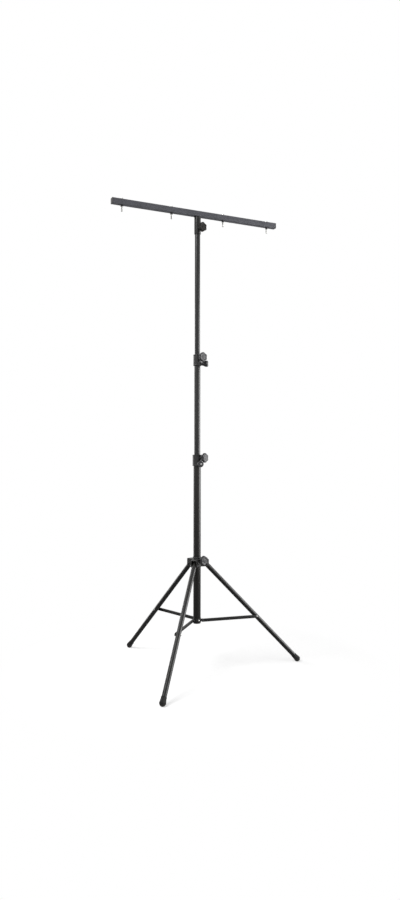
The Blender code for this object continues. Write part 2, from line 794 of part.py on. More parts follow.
def leg_tube_shape():
    """Leg tube hanging from its pivot, with the holes for its pin and its strut bolt."""
    end = -(LEG_LENGTH - FOOT_TUBE_SEAT)
    reach = LEG_RADIUS + OVERCUT
    tube = pipe(LEG_RADIUS, LEG_WALL, end, LEG_HEAD, LEG_STEPS)
    pin_hole = rod(LEG_PIN_DIAMETER / 2 + GAP, -reach, reach, place=sideways(0, 0))
    bolt_hole = rod(RIVET_DIAMETER / 2 + GAP, -reach, reach, place=sideways(0, -STRUT_ON_LEG))
    return cut(tube, pin_hole, bolt_hole)


def leg_plug_shape():
    """Plug for a leg's head, above the pin."""
    bore = LEG_RADIUS - LEG_WALL - GAP
    edge = LEG_PLUG_EDGE
    top = LEG_HEAD + GAP + LEG_PLUG_FLANGE
    return turned(
        [
            (0, top),
            (LEG_RADIUS - edge, top),
            (LEG_RADIUS, top - edge),
            (LEG_RADIUS, LEG_HEAD + GAP),
            (bore, LEG_HEAD + GAP),
            (bore, LEG_HEAD - LEG_PLUG_INSERT),
            (0, LEG_HEAD - LEG_PLUG_INSERT),
        ],
        steps=LEG_STEPS,
        closed=False,
    )


def leg_pin_shape():
    """Bolt and nut through a fork and the leg's head, about the pivot."""
    seat = FORK_OUTER_FACE + GAP
    across = sideways(0, 0)
    shank = rod(LEG_PIN_DIAMETER / 2, -seat - BURIED, seat + BURIED, place=across)
    head = hexagon(LEG_PIN_HEAD_WIDTH, seat, seat + LEG_PIN_HEAD_DEPTH, across)
    nut = hexagon(LEG_PIN_HEAD_WIDTH, -seat - LEG_PIN_NUT_DEPTH, -seat, across)
    return joined(head, shank, nut)


def foot_shape():
    """Rubber foot round the leg's lower end, cut flat where it stands on the floor."""
    ball = FOOT_DIAMETER / 2
    neck = FOOT_NECK_DIAMETER / 2
    rim = FOOT_HEIGHT - LEG_LENGTH
    bore = LEG_RADIUS + GAP
    seat = FOOT_TUBE_SEAT - GAP - LEG_LENGTH
    profile = [(0, seat), (bore, seat), (bore, rim), (neck, rim), (neck, rim - FOOT_BAND)]
    for step in range(FOOT_ARC_STEPS):
        angle = math.pi / 2 * step / FOOT_ARC_STEPS
        profile.append((ball * math.cos(angle), -LEG_LENGTH - ball * math.sin(angle)))
    profile.append((0, -LEG_LENGTH - ball))
    ground = block(
        (FOOT_DIAMETER * 2, FOOT_DIAMETER * 2, FOOT_DIAMETER),
        Matrix.Translation((0, 0, -LEG_LENGTH))
        @ Matrix.Rotation(LEG_TILT, 4, "Y")
        @ Matrix.Translation((0, 0, -FOOT_CENTRE_HEIGHT - FOOT_DIAMETER / 2)),
    )
    return cut(turned(profile, steps=LEG_STEPS, closed=False), ground)


def strut_bolt_shape():
    """Bolt across the leg that ends flush with the side that its strut lies on."""
    seat = LEG_RADIUS + GAP
    across = sideways(0, -STRUT_ON_LEG)
    shank = rod(RIVET_DIAMETER / 2, GAP - LEG_RADIUS, seat + BURIED, place=across)
    return joined(rivet_head(seat, across), shank)


def rivet_head(seat, place):
    """Low head of a rivet, with a sloping edge, outwards from its seat."""
    small = RIVET_HEAD_DIAMETER / 2 - RIVET_HEAD_DEPTH / 2
    return rod(
        RIVET_HEAD_DIAMETER / 2, seat, seat + RIVET_HEAD_DEPTH, place=place, end_radius=small
    )


def hub_shape():
    """Fixed hub on the mast's lower end, with an ear beside each strut's inner end."""
    ring = pipe(HUB_RADIUS, HUB_WALL + BURIED, -HUB_HEIGHT / 2, HUB_HEIGHT / 2)
    ears = [ear_shape(angle) for angle in LEG_ANGLES_DEG]
    core = rod(LOWER_RADIUS + GAP, -HUB_HEIGHT, HUB_HEIGHT, TUBE_STEPS)
    bolt_hole = rod(
        HUB_BOLT_DIAMETER / 2 + GAP, 0, HUB_RADIUS + OVERCUT, place=radial(HUB_BOLT_ANGLE_DEG, 0)
    )
    return cut(joined(ring, *ears), core, bolt_hole)


def ear_shape(angle_deg):
    """Flat ear that carries a strut's pin, on the clockwise side of its leg."""
    inner = LOWER_RADIUS - HUB_WALL / 2
    outer = HUB_PIVOT_RADIUS + HUB_EAR_ROUND
    half = HUB_EAR_ROUND
    corners = [(inner, -half), (outer, -half), (outer, half), (inner, half)]
    outer_face = STRUT_INNER_FACE - GAP
    middle = outer_face - HUB_EAR_THICKNESS / 2
    solid = flat_solid(
        [rounded(corners, half * END_ROUNDNESS)], HUB_EAR_THICKNESS, upright(-middle)
    )
    pin_hole = rod(
        RIVET_DIAMETER / 2 + GAP, -outer_face - OVERCUT, 0, place=sideways(HUB_PIVOT_RADIUS, 0)
    )
    mesh = cut(solid, pin_hole)
    mesh.transform(round_about(angle_deg))
    return mesh


def hub_bolt_shape():
    """Button-headed bolt through the hub and the mast's wall, along Z from the mast's axis."""
    seat = HUB_RADIUS + GAP
    tip = LOWER_RADIUS - TUBE_WALL - HUB_BOLT_TIP
    shank = rod(HUB_BOLT_DIAMETER / 2, tip, seat + BURIED)
    small = HUB_BOLT_HEAD_DIAMETER / 2 - HUB_BOLT_HEAD_DEPTH / 2
    head = rod(HUB_BOLT_HEAD_DIAMETER / 2, seat, seat + HUB_BOLT_HEAD_DEPTH, end_radius=small)
    return joined(head, shank)


def hub_pin_shape():
    """Rivet through an ear and a strut, headed at both ends, about the strut's pivot."""
    across = sideways(0, 0)
    back = sideways(0, 0) @ Matrix.Rotation(math.pi, 4, "X")
    ear_side = STRUT_INNER_FACE - GAP - HUB_EAR_THICKNESS - GAP
    strut_side = STRUT_INNER_FACE + STRUT_WIDTH + GAP
    shank = rod(RIVET_DIAMETER / 2, -strut_side - BURIED, BURIED - ear_side, place=across)
    return joined(rivet_head(strut_side, back), shank, rivet_head(-ear_side, across))


def strut_shape():
    """Channel-section strut along X from its pivot, open below, with its rivet on the leg."""
    half = STRUT_HEIGHT / 2
    far = STRUT_LENGTH + half
    corners = [(-half, -half), (far, -half), (far, half), (-half, half)]
    middle = STRUT_INNER_FACE + STRUT_WIDTH / 2
    bar = flat_solid(
        [rounded(corners, half * END_ROUNDNESS)], STRUT_WIDTH, upright(-middle)
    )
    hollow_top = half - STRUT_WALL
    hollow_low = -half - OVERCUT
    hollow = block(
        (
            far + half + 2 * OVERCUT,
            STRUT_WIDTH - 2 * STRUT_WALL,
            hollow_top - hollow_low,
        ),
        Matrix.Translation((STRUT_LENGTH / 2, -middle, (hollow_top + hollow_low) / 2)),
    )
    outer_face = STRUT_INNER_FACE + STRUT_WIDTH
    pin_hole = rod(
        RIVET_DIAMETER / 2 + GAP, -outer_face - OVERCUT, OVERCUT - STRUT_INNER_FACE,
        place=sideways(0, 0),
    )
    at_leg = sideways(STRUT_LENGTH, 0)
    back = at_leg @ Matrix.Rotation(math.pi, 4, "X")
    rivet = rod(
        RIVET_DIAMETER / 2, -outer_face - BURIED, -STRUT_INNER_FACE - STRUT_WALL / 2,
        place=at_leg,
    )
    head = rivet_head(outer_face - HEAD_BURIED, back)
    return joined(cut(bar, hollow, pin_hole), rivet, head)


# Crossbar

def crossbar_tube_shape():
    """Square tube along X, with holes from top to bottom for the lamp bolts."""
    length = CROSSBAR_LENGTH - 2 * (CAP_FLANGE + GAP)
    outer = square(CROSSBAR_SIDE, CROSSBAR_CORNER)
    inner = square(CROSSBAR_SIDE - 2 * CROSSBAR_WALL, CROSSBAR_CORNER - CROSSBAR_WALL)
    along_x = Matrix.Rotation(math.pi / 2, 4, "Y")
    tube = flat_solid([outer, inner], length, along_x)
    holes = [
        rod(
            LAMP_BOLT_DIAMETER / 2 + GAP, -CROSSBAR_SIDE, CROSSBAR_SIDE,
            place=Matrix.Translation((x, 0, 0)),
        )
        for x in LAMP_BOLT_PLACES
    ]
    return cut(tube, *holes)


def square(side, corner):
    half = side / 2
    return rounded([(-half, -half), (half, -half), (half, half), (-half, half)], corner)


def crossbar_cap_shape():
    """End cap along Z: a flange that closes the square tube and an insert that holds it."""
    flange = flat_solid(
        [square(CROSSBAR_SIDE, CROSSBAR_CORNER)], CAP_FLANGE,
        Matrix.Translation((0, 0, CAP_FLANGE / 2)),
    )
    inside = CROSSBAR_SIDE - 2 * (CROSSBAR_WALL + GAP)
    reach = CAP_INSERT + BURIED
    insert = flat_solid(
        [square(inside, CROSSBAR_CORNER - CROSSBAR_WALL)], reach,
        Matrix.Translation((0, 0, BURIED - reach / 2)),
    )
    return joined(bevelled(flange, CAP_EDGE, 1), insert)


def receiver_shape():
    """Sleeve under the crossbar that fits over the upper tube, with a boss for its screw."""
    edge = RECEIVER_ROUNDING
    bore = UPPER_RADIUS + GAP
    body = turned(
        [
            (RECEIVER_RADIUS, RECEIVER_LENGTH),
            (RECEIVER_RADIUS, edge),
            (RECEIVER_RADIUS - edge, 0),
            (bore, 0),
            (bore, RECEIVER_LENGTH),
        ]
    )
    at_knob = radial(RECEIVER_KNOB_DEG, RECEIVER_KNOB_RISE)
    root = RECEIVER_RADIUS - RECEIVER_WALL / 2
    boss_end = RECEIVER_RADIUS + BOSS_STAND_OUT
    boss = rod(BOSS_DIAMETER / 2, root, boss_end, place=at_knob)
    screw_hole = rod(SCREW_RADIUS + GAP, 0, boss_end + OVERCUT, place=at_knob)
    return cut(joined(body, boss), screw_hole)


def lamp_bolt_shape():
    """Hexagon bolt through the crossbar, hanging from the underside of its head."""
    radius = LAMP_BOLT_DIAMETER / 2
    end = -CROSSBAR_SIDE - GAP - LAMP_BOLT_DROP
    shank = turned(
        [
            (0, BURIED),
            (radius, BURIED),
            (radius, end + LAMP_BOLT_CHAMFER),
            (radius - LAMP_BOLT_CHAMFER, end),
            (0, end),
        ],
        steps=ROD_STEPS,
        closed=False,
    )
    return joined(hexagon(LAMP_BOLT_HEAD_WIDTH, 0, LAMP_BOLT_HEAD_DEPTH), shank)


def lamp_nut_shape():
    """Flanged nut under the crossbar, hanging from the flange's upper face."""
    flange = rod(LAMP_NUT_FLANGE_DIAMETER / 2, -LAMP_NUT_FLANGE_DEPTH, 0)
    nut = hexagon(LAMP_NUT_WIDTH, -LAMP_NUT_DEPTH, -LAMP_NUT_FLANGE_DEPTH + BURIED)
    bore = rod(LAMP_BOLT_DIAMETER / 2 + GAP, -LAMP_NUT_DEPTH - OVERCUT, OVERCUT)
    return cut(joined(flange, nut), bore)


# The whole stand

def build_lower_mast(mast):
    piece("lower_tube", lower_tube_shape(), COAT, mast, (0, 0, MAST_END_HEIGHT))
    piece("mast_end_plug", mast_plug_shape(), PLASTIC, mast, (0, 0, MAST_END_HEIGHT))
    piece("strut_hub", hub_shape(), COAT, mast, (0, 0, HUB_PIVOT_HEIGHT))
    turn = (0, math.pi / 2, math.radians(HUB_BOLT_ANGLE_DEG))
    piece("hub_bolt", hub_bolt_shape(), ZINC, mast, (0, 0, HUB_PIVOT_HEIGHT), turn)
    add_clamp(
        "lower", mast, LOWER_CLAMP_BOTTOM, LOWER_RADIUS, MIDDLE_RADIUS, LOWER_KNOB_DEG,
        LOWER_PLUNGER_DEG,
    )


def build_middle_section(mast):
    """Middle tube with the upper clamp, in a frame whose origin is the tube's upper end."""
    middle = section("middle_section", mast, (0, 0, MIDDLE_TUBE_TOP))
    piece("middle_tube", middle_tube_shape(), COAT, middle)
    foot = tube_foot_shape(LOWER_RADIUS, MIDDLE_RADIUS)
    piece("middle_tube_foot", foot, NYLON, middle, (0, 0, -MIDDLE_TUBE_LENGTH))
    add_clamp(
        "upper", middle, -CLAMP_GRIP, MIDDLE_RADIUS, UPPER_RADIUS, UPPER_KNOB_DEG,
        UPPER_PLUNGER_DEG,
    )


def build_upper_section(mast):
    """Upper tube, in a frame whose origin is the tube's upper end."""
    upper = section("upper_section", mast, (0, 0, UPPER_TUBE_TOP))
    piece("upper_tube", pipe(UPPER_RADIUS, TUBE_WALL, -UPPER_TUBE_LENGTH, 0), COAT, upper)
    foot = tube_foot_shape(MIDDLE_RADIUS, UPPER_RADIUS)
    piece("upper_tube_foot", foot, NYLON, upper, (0, 0, -UPPER_TUBE_LENGTH))


def build_crossbar(mast):
    """Crossbar on its receiver, in a frame that starts at the receiver's lower end."""
    swivel = section("crossbar_swivel", mast, (0, 0, RECEIVER_BOTTOM))
    piece("receiver_sleeve", receiver_shape(), COAT, swivel)
    bottom = CROSSBAR_BOTTOM - RECEIVER_BOTTOM
    axis_height = bottom + CROSSBAR_SIDE / 2
    piece("crossbar_tube", crossbar_tube_shape(), BAR_COAT, swivel, (0, 0, axis_height))
    for side, name in ((-1, "crossbar_cap_left"), (1, "crossbar_cap_right")):
        place = (side * (CROSSBAR_LENGTH / 2 - CAP_FLANGE), 0, axis_height)
        piece(name, crossbar_cap_shape(), PLASTIC, swivel, place, (0, side * math.pi / 2, 0))
    for number, x in enumerate(LAMP_BOLT_PLACES, 1):
        top = bottom + CROSSBAR_SIDE + GAP
        piece(f"lamp_bolt_{number}", lamp_bolt_shape(), ZINC, swivel, (x, 0, top))
        piece(f"lamp_nut_{number}", lamp_nut_shape(), BLACK_ZINC, swivel, (x, 0, bottom - GAP))
    add_knob(
        "receiver_knob", "receiver_screw", swivel, RECEIVER_KNOB_DEG, RECEIVER_KNOB_RISE,
        UPPER_RADIUS + GAP, RECEIVER_RADIUS + BOSS_STAND_OUT,
    )


def build_tripod(mast):
    """Leg collar, legs and struts; a leg's X points outwards before it is tilted."""
    collar = section("leg_collar_slide", mast, (0, 0, LEG_COLLAR_BOTTOM))
    piece("leg_collar", leg_collar_shape(), COAT, collar)
    add_knob(
        "leg_collar_knob", "leg_collar_screw", collar, LEG_KNOB_DEG, LEG_COLLAR_KNOB_RISE,
        LOWER_RADIUS + GAP, LEG_COLLAR_RADIUS + LEG_COLLAR_BOSS_STAND_OUT,
    )
    for number, angle_deg in enumerate(LEG_ANGLES_DEG, 1):
        build_leg(number, collar, math.radians(angle_deg))
        build_strut(number, mast, math.radians(angle_deg))


def build_leg(number, collar, angle):
    place = (
        LEG_PIVOT_RADIUS * math.cos(angle),
        LEG_PIVOT_RADIUS * math.sin(angle),
        LEG_PIVOT_RISE,
    )
    piece(f"leg_pin_{number}", leg_pin_shape(), BLACK_ZINC, collar, place, (0, 0, angle))
    hinge = section(f"leg_hinge_{number}", collar, place, (0, -LEG_TILT, angle))
    piece(f"leg_tube_{number}", leg_tube_shape(), COAT, hinge)
    piece(f"leg_plug_{number}", leg_plug_shape(), PLASTIC, hinge)
    piece(f"foot_{number}", foot_shape(), RUBBER, hinge)
    piece(f"strut_bolt_{number}", strut_bolt_shape(), ZINC, hinge)


def build_strut(number, mast, angle):
    place = (
        HUB_PIVOT_RADIUS * math.cos(angle),
        HUB_PIVOT_RADIUS * math.sin(angle),
        HUB_PIVOT_HEIGHT,
    )
    piece(f"hub_pin_{number}", hub_pin_shape(), BLACK_ZINC, mast, place, (0, 0, angle))
    hinge = section(f"strut_hinge_{number}", mast, place, (0, -STRUT_TILT, angle))
    piece(f"strut_{number}", strut_shape(), COAT, hinge)


def build_stand():
    mast = section("mast", location=(MAST_X, MAST_Y, 0))
    build_lower_mast(mast)
    build_middle_section(mast)
    build_upper_section(mast)
    build_crossbar(mast)
    build_tripod(mast)


build_stand()
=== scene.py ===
"""Looks of the telescopic light stand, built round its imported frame.

Metres, in the frame's own axes: +Z up along the mast, X along the crossbar. Every shape is made
in the frame of the section that it belongs to and then put in place in its mesh.
"""

import json
import math

import bmesh
import bpy
from mathutils import Matrix, Vector


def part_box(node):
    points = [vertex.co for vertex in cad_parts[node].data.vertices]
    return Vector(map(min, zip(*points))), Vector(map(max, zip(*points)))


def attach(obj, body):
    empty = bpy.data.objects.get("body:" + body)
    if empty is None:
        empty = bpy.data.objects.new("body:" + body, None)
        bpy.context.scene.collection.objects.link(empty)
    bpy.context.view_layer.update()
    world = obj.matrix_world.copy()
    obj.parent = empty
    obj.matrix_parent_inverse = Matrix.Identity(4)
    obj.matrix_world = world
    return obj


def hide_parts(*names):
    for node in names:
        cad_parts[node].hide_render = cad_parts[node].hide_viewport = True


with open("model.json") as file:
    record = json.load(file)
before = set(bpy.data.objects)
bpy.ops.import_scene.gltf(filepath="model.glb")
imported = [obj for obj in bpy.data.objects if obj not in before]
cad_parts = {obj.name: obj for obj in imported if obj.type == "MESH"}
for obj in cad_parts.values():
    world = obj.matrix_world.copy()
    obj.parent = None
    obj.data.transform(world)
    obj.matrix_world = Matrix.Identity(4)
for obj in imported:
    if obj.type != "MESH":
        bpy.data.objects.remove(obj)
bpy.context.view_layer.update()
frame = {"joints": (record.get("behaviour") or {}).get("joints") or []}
JOINTS = {joint["name"]: joint for joint in frame["joints"]}

# Clearances
GAP = 0.0003
SLIDE_CLEARANCE = 0.0005
OVERCUT = 0.002                  # how far a cutter goes on past what it cuts
BURIED = 0.001                   # how far a joined shape reaches into the other

# Sides of what is turned
FINE_STEPS = 96
FOOT_STEPS = 72
SMALL_STEPS = 64                 # legs and pull knobs
FASTENER_STEPS = 48
BOSS_STEPS = 40
HEAD_STEPS = 32

# Mast
LOWER_RADIUS = 0.024
MIDDLE_RADIUS = 0.020
UPPER_RADIUS = 0.0175
TUBE_WALL = 0.0012
TUBE_LIP = 0.0004
MAST_PLUG_FLANGE = 0.004
MAST_PLUG_WALL = 0.002
MAST_PLUG_INSERT = 0.012
MAST_PLUG_DISH_RADIUS = LOWER_RADIUS * 0.62
MAST_PLUG_DISH_FLOOR = LOWER_RADIUS * 0.58
MAST_PLUG_DISH_DEPTH = 0.0006
MAST_PLUG_EASE = 0.0007
BUSH_FLANGE = 0.002
BUSH_SLEEVE = 0.012
BUSH_EASE = 0.0004
TUBE_FOOT_SLEEVE = 0.030
TUBE_FOOT_FLOOR = 0.002
TUBE_FOOT_LIP = 0.003
TUBE_FOOT_EASE = 0.0003

# Clamp collars
CLAMP_HEIGHT = 0.072
CLAMP_GRIP = 0.030
CLAMP_WALL = 0.0065
CLAMP_KNOB_RISE = 0.052
CLAMP_PLUNGER_RISE = 0.012
CLAMP_RIM = 0.006                # height of the raised rims at both ends
CLAMP_SLOPE = 0.0015             # from a rim to the waist between them
CLAMP_WAIST = 0.0008             # how far the waist lies behind the rims
CLAMP_EASE = 0.002
CLAMP_GRAIN = 0.0009             # size of the facets that the cast skin is remade from
BOSS_RADIUS = 0.010
BOSS_STAND_OUT = 0.006
CAST_BORE_EASE = 0.0002

# Screws, knobs and plungers
SCREW_RADIUS = 0.004
SCREW_PITCH = 0.00125
SCREW_IN_KNOB = 0.016
THREAD_DEPTH = 0.55              # over the pitch
THREAD_RINGS = 5                 # in one turn of the thread
THREAD_STEPS = 28
KNOB_STAND_OFF = 0.005
KNOB_RADIUS = 0.031
KNOB_LOBES = 6
KNOB_LOBE_DEPTH = 0.0040
KNOB_HEAD_DEPTH = 0.019
KNOB_HUB_RADIUS = 0.013
KNOB_HUB_DEPTH = 0.008
KNOB_STEPS = 120
PLUNGER_PIN_RADIUS = 0.003
PLUNGER_HEAD_RADIUS = 0.006
PLUNGER_HEAD_DEPTH = 0.002
PLUNGER_PIN_EASE = 0.0009
PLUNGER_BODY_RADIUS = 0.006
PLUNGER_BODY_EASE = 0.0004
PLUNGER_NUT_WIDTH = 0.020
PLUNGER_NUT_DEPTH = 0.005
PLUNGER_BOSS_RADIUS = 0.011
PLUNGER_BOSS_STAND_OUT = 0.003
PLUNGER_KNOB_RADIUS = 0.020
PLUNGER_KNOB_NECK = 0.013
PLUNGER_KNOB_DEPTH = 0.034
PLUNGER_KNOB_EDGE = 0.004
PLUNGER_KNOB_RIM = 0.010
PLUNGER_KNOB_ROOT = 0.004
PLUNGER_KNOB_EASE = 0.0022
PLUNGER_FACE_IN = 0.0008         # from the rim to the flat of the face
PLUNGER_FACE_HOLE = 0.0012       # room round the pin's head
GRIP_RIBS = 26
GRIP_RIB_SIDES = 8
GRIP_RIB_RADIUS = 0.0011
GRIP_RIB_IN = 0.0009             # from the rim to the middle of a rib

# Leg collar
LEG_COLLAR_HEIGHT = 0.065
LEG_COLLAR_WALL = 0.004
LEG_COLLAR_BOSS_STAND_OUT = 0.012
LEG_COLLAR_KNOB_RISE = 0.046
LEG_COLLAR_EASE = 0.0025
LEG_COLLAR_GRAIN = 0.0010
LEG_PIVOT_RISE = 0.0145
FORK_THICKNESS = 0.004
FORK_REACH = 0.0115
FORK_TOP_RISE = 0.0365
FORK_ROOF = 0.004
FORK_CORNER = 0.006
FORK_WEB = 0.008

# Legs, feet and struts
LEG_TILT = math.radians(43.8)
LEG_LENGTH = 0.9135
LEG_RADIUS = 0.015
LEG_WALL = 0.0015
LEG_HEAD = 0.016
LEG_PLUG_FLANGE = 0.003
LEG_PLUG_INSERT = 0.006
LEG_PLUG_EASE = 0.0010
LEG_PIN_RADIUS = 0.004
LEG_PIN_WIDTH = 0.013
LEG_PIN_HEAD = 0.0053
LEG_PIN_NUT = 0.0065
LEG_PIN_NUT_FLATS = 0.00468      # how much of the nut is a hexagon
LEG_PIN_COLLAR_RADIUS = 0.00546  # round end of the nut
LEG_PIN_COLLAR_ROOT = 0.0039
LEG_PIN_COLLAR_EASE = 0.0008
FOOT_RADIUS = 0.020
FOOT_NECK_RADIUS = 0.01725
FOOT_HEIGHT = 0.034
FOOT_BAND = 0.012
FOOT_CENTRE_HEIGHT = 0.019
FOOT_TUBE_SEAT = 0.004
FOOT_RIBS = 4
FOOT_RIB_DEPTH = 0.0006
FOOT_RIB_RINGS = 8
FOOT_ROLL = 0.0035               # height of the rolled rim
FOOT_STEP = 0.0007               # how far the neck lies behind it
FOOT_EASE = 0.0006
FOOT_MOUTH_EASE = 0.0008
FOOT_BALL_RINGS = 16
HUB_WALL = 0.0025
HUB_RADIUS = LOWER_RADIUS + GAP + HUB_WALL
HUB_HEIGHT = 0.026
HUB_LIP = 0.0008
HUB_EASE = 0.0004
HUB_EAR_THICKNESS = 0.0055
HUB_EAR_ROUND = 0.0095
HUB_BOLT_DEG = 272.0
HUB_BOLT_RADIUS = 0.003
HUB_BOLT_HEAD_RADIUS = 0.0055
HUB_BOLT_HEAD_DEPTH = 0.0035
STRUT_ON_LEG = 0.4916
STRUT_HEIGHT = 0.020
STRUT_WIDTH = 0.007
STRUT_WALL = 0.0015
STRUT_EASE = 0.0005
END_ROUNDNESS = 0.9              # an ear's or strut's corner radius over half its height
RIVET_RADIUS = 0.003
RIVET_HEAD_RADIUS = 0.0055
RIVET_HEAD_DEPTH = 0.0025

# Crossbar, receiver and lamp bolts
CROSSBAR_SIDE = 0.035
CROSSBAR_WALL = 0.002
CROSSBAR_CORNER = 0.003
CAP_FLANGE = 0.003
CAP_INSERT = 0.014
CAP_EASE = 0.0008
RECEIVER_LENGTH = 0.112
RECEIVER_WALL = 0.0035
RECEIVER_KNOB_RISE = 0.036
RECEIVER_EASE = 0.001
RECEIVER_BOSS_EASE = 0.0008
WELD_RADIUS = 0.0013
WELD_STAND_OUT = 0.0004          # from the sleeve's face to the middle of the bead
WELD_BELOW_TOP = 0.0006          # from the sleeve's top to the middle of the bead
WELD_SHORT = 0.001               # bare at each end of the bar's width
WELD_STEPS = 16
WELD_SPACING = 0.9               # from drop to drop, over the bead's radius
WELD_FLATNESS = 0.9              # height of a drop over its width
WELD_GRAIN = 0.28                # facets of the remade skin, over the bead's radius
WELD_SUBDIVISIONS = 3
BOSS_WELD_RADIUS = 0.0008
BOSS_WELD_STAND_OUT = 0.0003
LAMP_BOLT_PLACES = (-0.516, -0.184, 0.184, 0.516)
LAMP_BOLT_RADIUS = 0.005
LAMP_BOLT_DROP = 0.040
LAMP_BOLT_PITCH = 0.0015
LAMP_BOLT_THREAD_END = 0.004     # above the bar's lower face
LAMP_BOLT_SHANK_START = 0.003
LAMP_BOLT_SHANK_RADIUS = 0.0048
LAMP_BOLT_HEAD_WIDTH = 0.016
LAMP_BOLT_HEAD_DEPTH = 0.0064
LAMP_NUT_WIDTH = 0.015
LAMP_NUT_DEPTH = 0.010
LAMP_NUT_FLANGE_RADIUS = 0.0105
LAMP_NUT_FLANGE_DEPTH = 0.002
LAMP_NUT_FLANGE_EDGE = 0.0012    # straight edge of the flange
LAMP_NUT_FLANGE_CONE = 0.003     # where its cone meets the hexagon
LAMP_NUT_EASE = 0.0003

# Where the sections stand
tube_low, tube_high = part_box("lower_tube")
MAST_X = (tube_low.x + tube_high.x) / 2
MAST_Y = (tube_low.y + tube_high.y) / 2
MAST_END = tube_low.z
LOWER_CLAMP_BOTTOM = tube_high.z - CLAMP_GRIP
MIDDLE_TUBE_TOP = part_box("middle_tube")[1].z
UPPER_CLAMP_BOTTOM = MIDDLE_TUBE_TOP - CLAMP_GRIP
CROSSBAR_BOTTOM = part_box("crossbar_tube")[0].z
RECEIVER_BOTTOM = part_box("receiver_sleeve")[0].z
LEG_COLLAR_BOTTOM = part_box("leg_collar")[0].z
HUB_PIVOT_HEIGHT = JOINTS["strut_hinge_1"]["pos_m"][2]


# Shapes

ON_AXIS = 1e-6                   # a smaller radius is a point on the axis
EASE_SHARE = 0.45                # how much of a side one eased corner may take
HEAD_RIM = 0.15                  # straight rim of a domed head, over its depth
HEAD_RINGS = 6
HEXAGON_FACE = 0.99              # turned face of a hexagon over half its width
HEXAGON_SLOPE = 0.5              # of its turned corners
HEXAGON_RINGS = 4
BEVEL_FROM = math.radians(40.0)  # flatter edges are left as they are
SAME_SPOT = 0.00001
SAME_PLANE = 0.01                # in radians


def mesh_of(bm):
    mesh = bpy.data.meshes.new("shape")
    bm.to_mesh(mesh)
    bm.free()
    return mesh


def settle(obj):
    """The object's mesh with its modifiers, and the object itself taken away."""
    graph = bpy.context.evaluated_depsgraph_get()
    mesh = bpy.data.meshes.new_from_object(obj.evaluated_get(graph))
    bpy.data.objects.remove(obj, do_unlink=True)
    return mesh


def workpiece(data):
    obj = bpy.data.objects.new("workpiece", data)
    bpy.context.scene.collection.objects.link(obj)
    return obj


def skin(bm, first, second):
    """Faces between two rings of vertices, either of which may be a single point."""
    steps = max(len(first), len(second))
    for i in range(steps):
        j = (i + 1) % steps
        corners = (
            first[i % len(first)], first[j % len(first)],
            second[j % len(second)], second[i % len(second)],
        )
        face = list(dict.fromkeys(corners))
        if len(face) > 2:
            bm.faces.new(face)


def shaped(profile, reach, steps, closed):
    """Rings one after another; reach gives a ring's radius at an angle from its profile entry."""
    bm = bmesh.new()
    rings = []
    for entry in profile:
        if entry[0] < ON_AXIS:
            rings.append([bm.verts.new((0.0, 0.0, entry[1]))])
            continue
        ring = []
        for step in range(steps):
            angle = math.tau * step / steps
            radius = reach(entry, angle)
            ring.append(
                bm.verts.new((radius * math.cos(angle), radius * math.sin(angle), entry[1]))
            )
        rings.append(ring)
    for first, second in zip(rings, rings[1:]):
        skin(bm, first, second)
    if closed:
        skin(bm, rings[-1], rings[0])
    bmesh.ops.recalc_face_normals(bm, faces=bm.faces)
    return mesh_of(bm)


def turned(profile, steps=FINE_STEPS, closed=True):
    """Profile of (radius, z) turned about Z."""
    return shaped(profile, lambda entry, angle: entry[0], steps, closed)


def softened(points, radius, closed=True, steps=3):
    """The outline with each corner eased to an arc; the ends of an open one stay."""
    result = []
    count = len(points)
    for i, spot in enumerate(points):
        if not closed and i in (0, count - 1):
            result.append(tuple(spot))
            continue
        here = Vector(spot)
        before = Vector(points[i - 1]) - here
        after = Vector(points[(i + 1) % count]) - here
        reach = min(radius, before.length * EASE_SHARE, after.length * EASE_SHARE)
        start = here + before.normalized() * reach
        end = here + after.normalized() * reach
        for step in range(steps + 1):
            t = step / steps
            result.append(tuple(start * (1 - t) ** 2 + here * 2 * t * (1 - t) + end * t * t))
    return result


def pipe(radius, wall, bottom, top, lip=TUBE_LIP, steps=FINE_STEPS):
    inner = radius - wall
    outline = [(radius, top), (radius, bottom), (inner, bottom), (inner, top)]
    return turned(softened(outline, lip), steps)


def rod(radius, start, end, lip=0.0, steps=FASTENER_STEPS, place=Matrix()):
    outline = [(0, end), (radius, end), (radius, start), (0, start)]
    if lip:
        outline = softened(outline, lip, closed=False)
    mesh = turned(outline, steps, closed=False)
    mesh.transform(place)
    return mesh


def domed_head(radius, depth, seat, place):
    """Rivet or button head that stands on its seat."""
    rim = seat + depth * HEAD_RIM
    dome = depth * (1 - HEAD_RIM)
    profile = [(0, seat - BURIED), (radius, seat - BURIED), (radius, rim)]
    for step in range(1, HEAD_RINGS):
        angle = math.pi / 2 * step / HEAD_RINGS
        profile.append((radius * math.cos(angle), rim + dome * math.sin(angle)))
    profile.append((0, rim + dome))
    mesh = turned(profile, HEAD_STEPS, closed=False)
    mesh.transform(place)
    return mesh


def headed(radius, start, seat, head_radius, head_depth, place):
    """Shank of a bolt or rivet with its domed head."""
    shank = rod(radius, start, seat, place=place)
    return gathered(shank, domed_head(head_radius, head_depth, seat + BURIED, place))


def drilled_boss(radius, bore, root, end, place, lip=0.0, steps=BOSS_STEPS):
    """A round boss, and the cutter for the hole through it and the wall behind it."""
    boss = rod(radius, root, end, lip, steps, place)
    return boss, rod(bore + GAP, 0, end + OVERCUT, place=place)


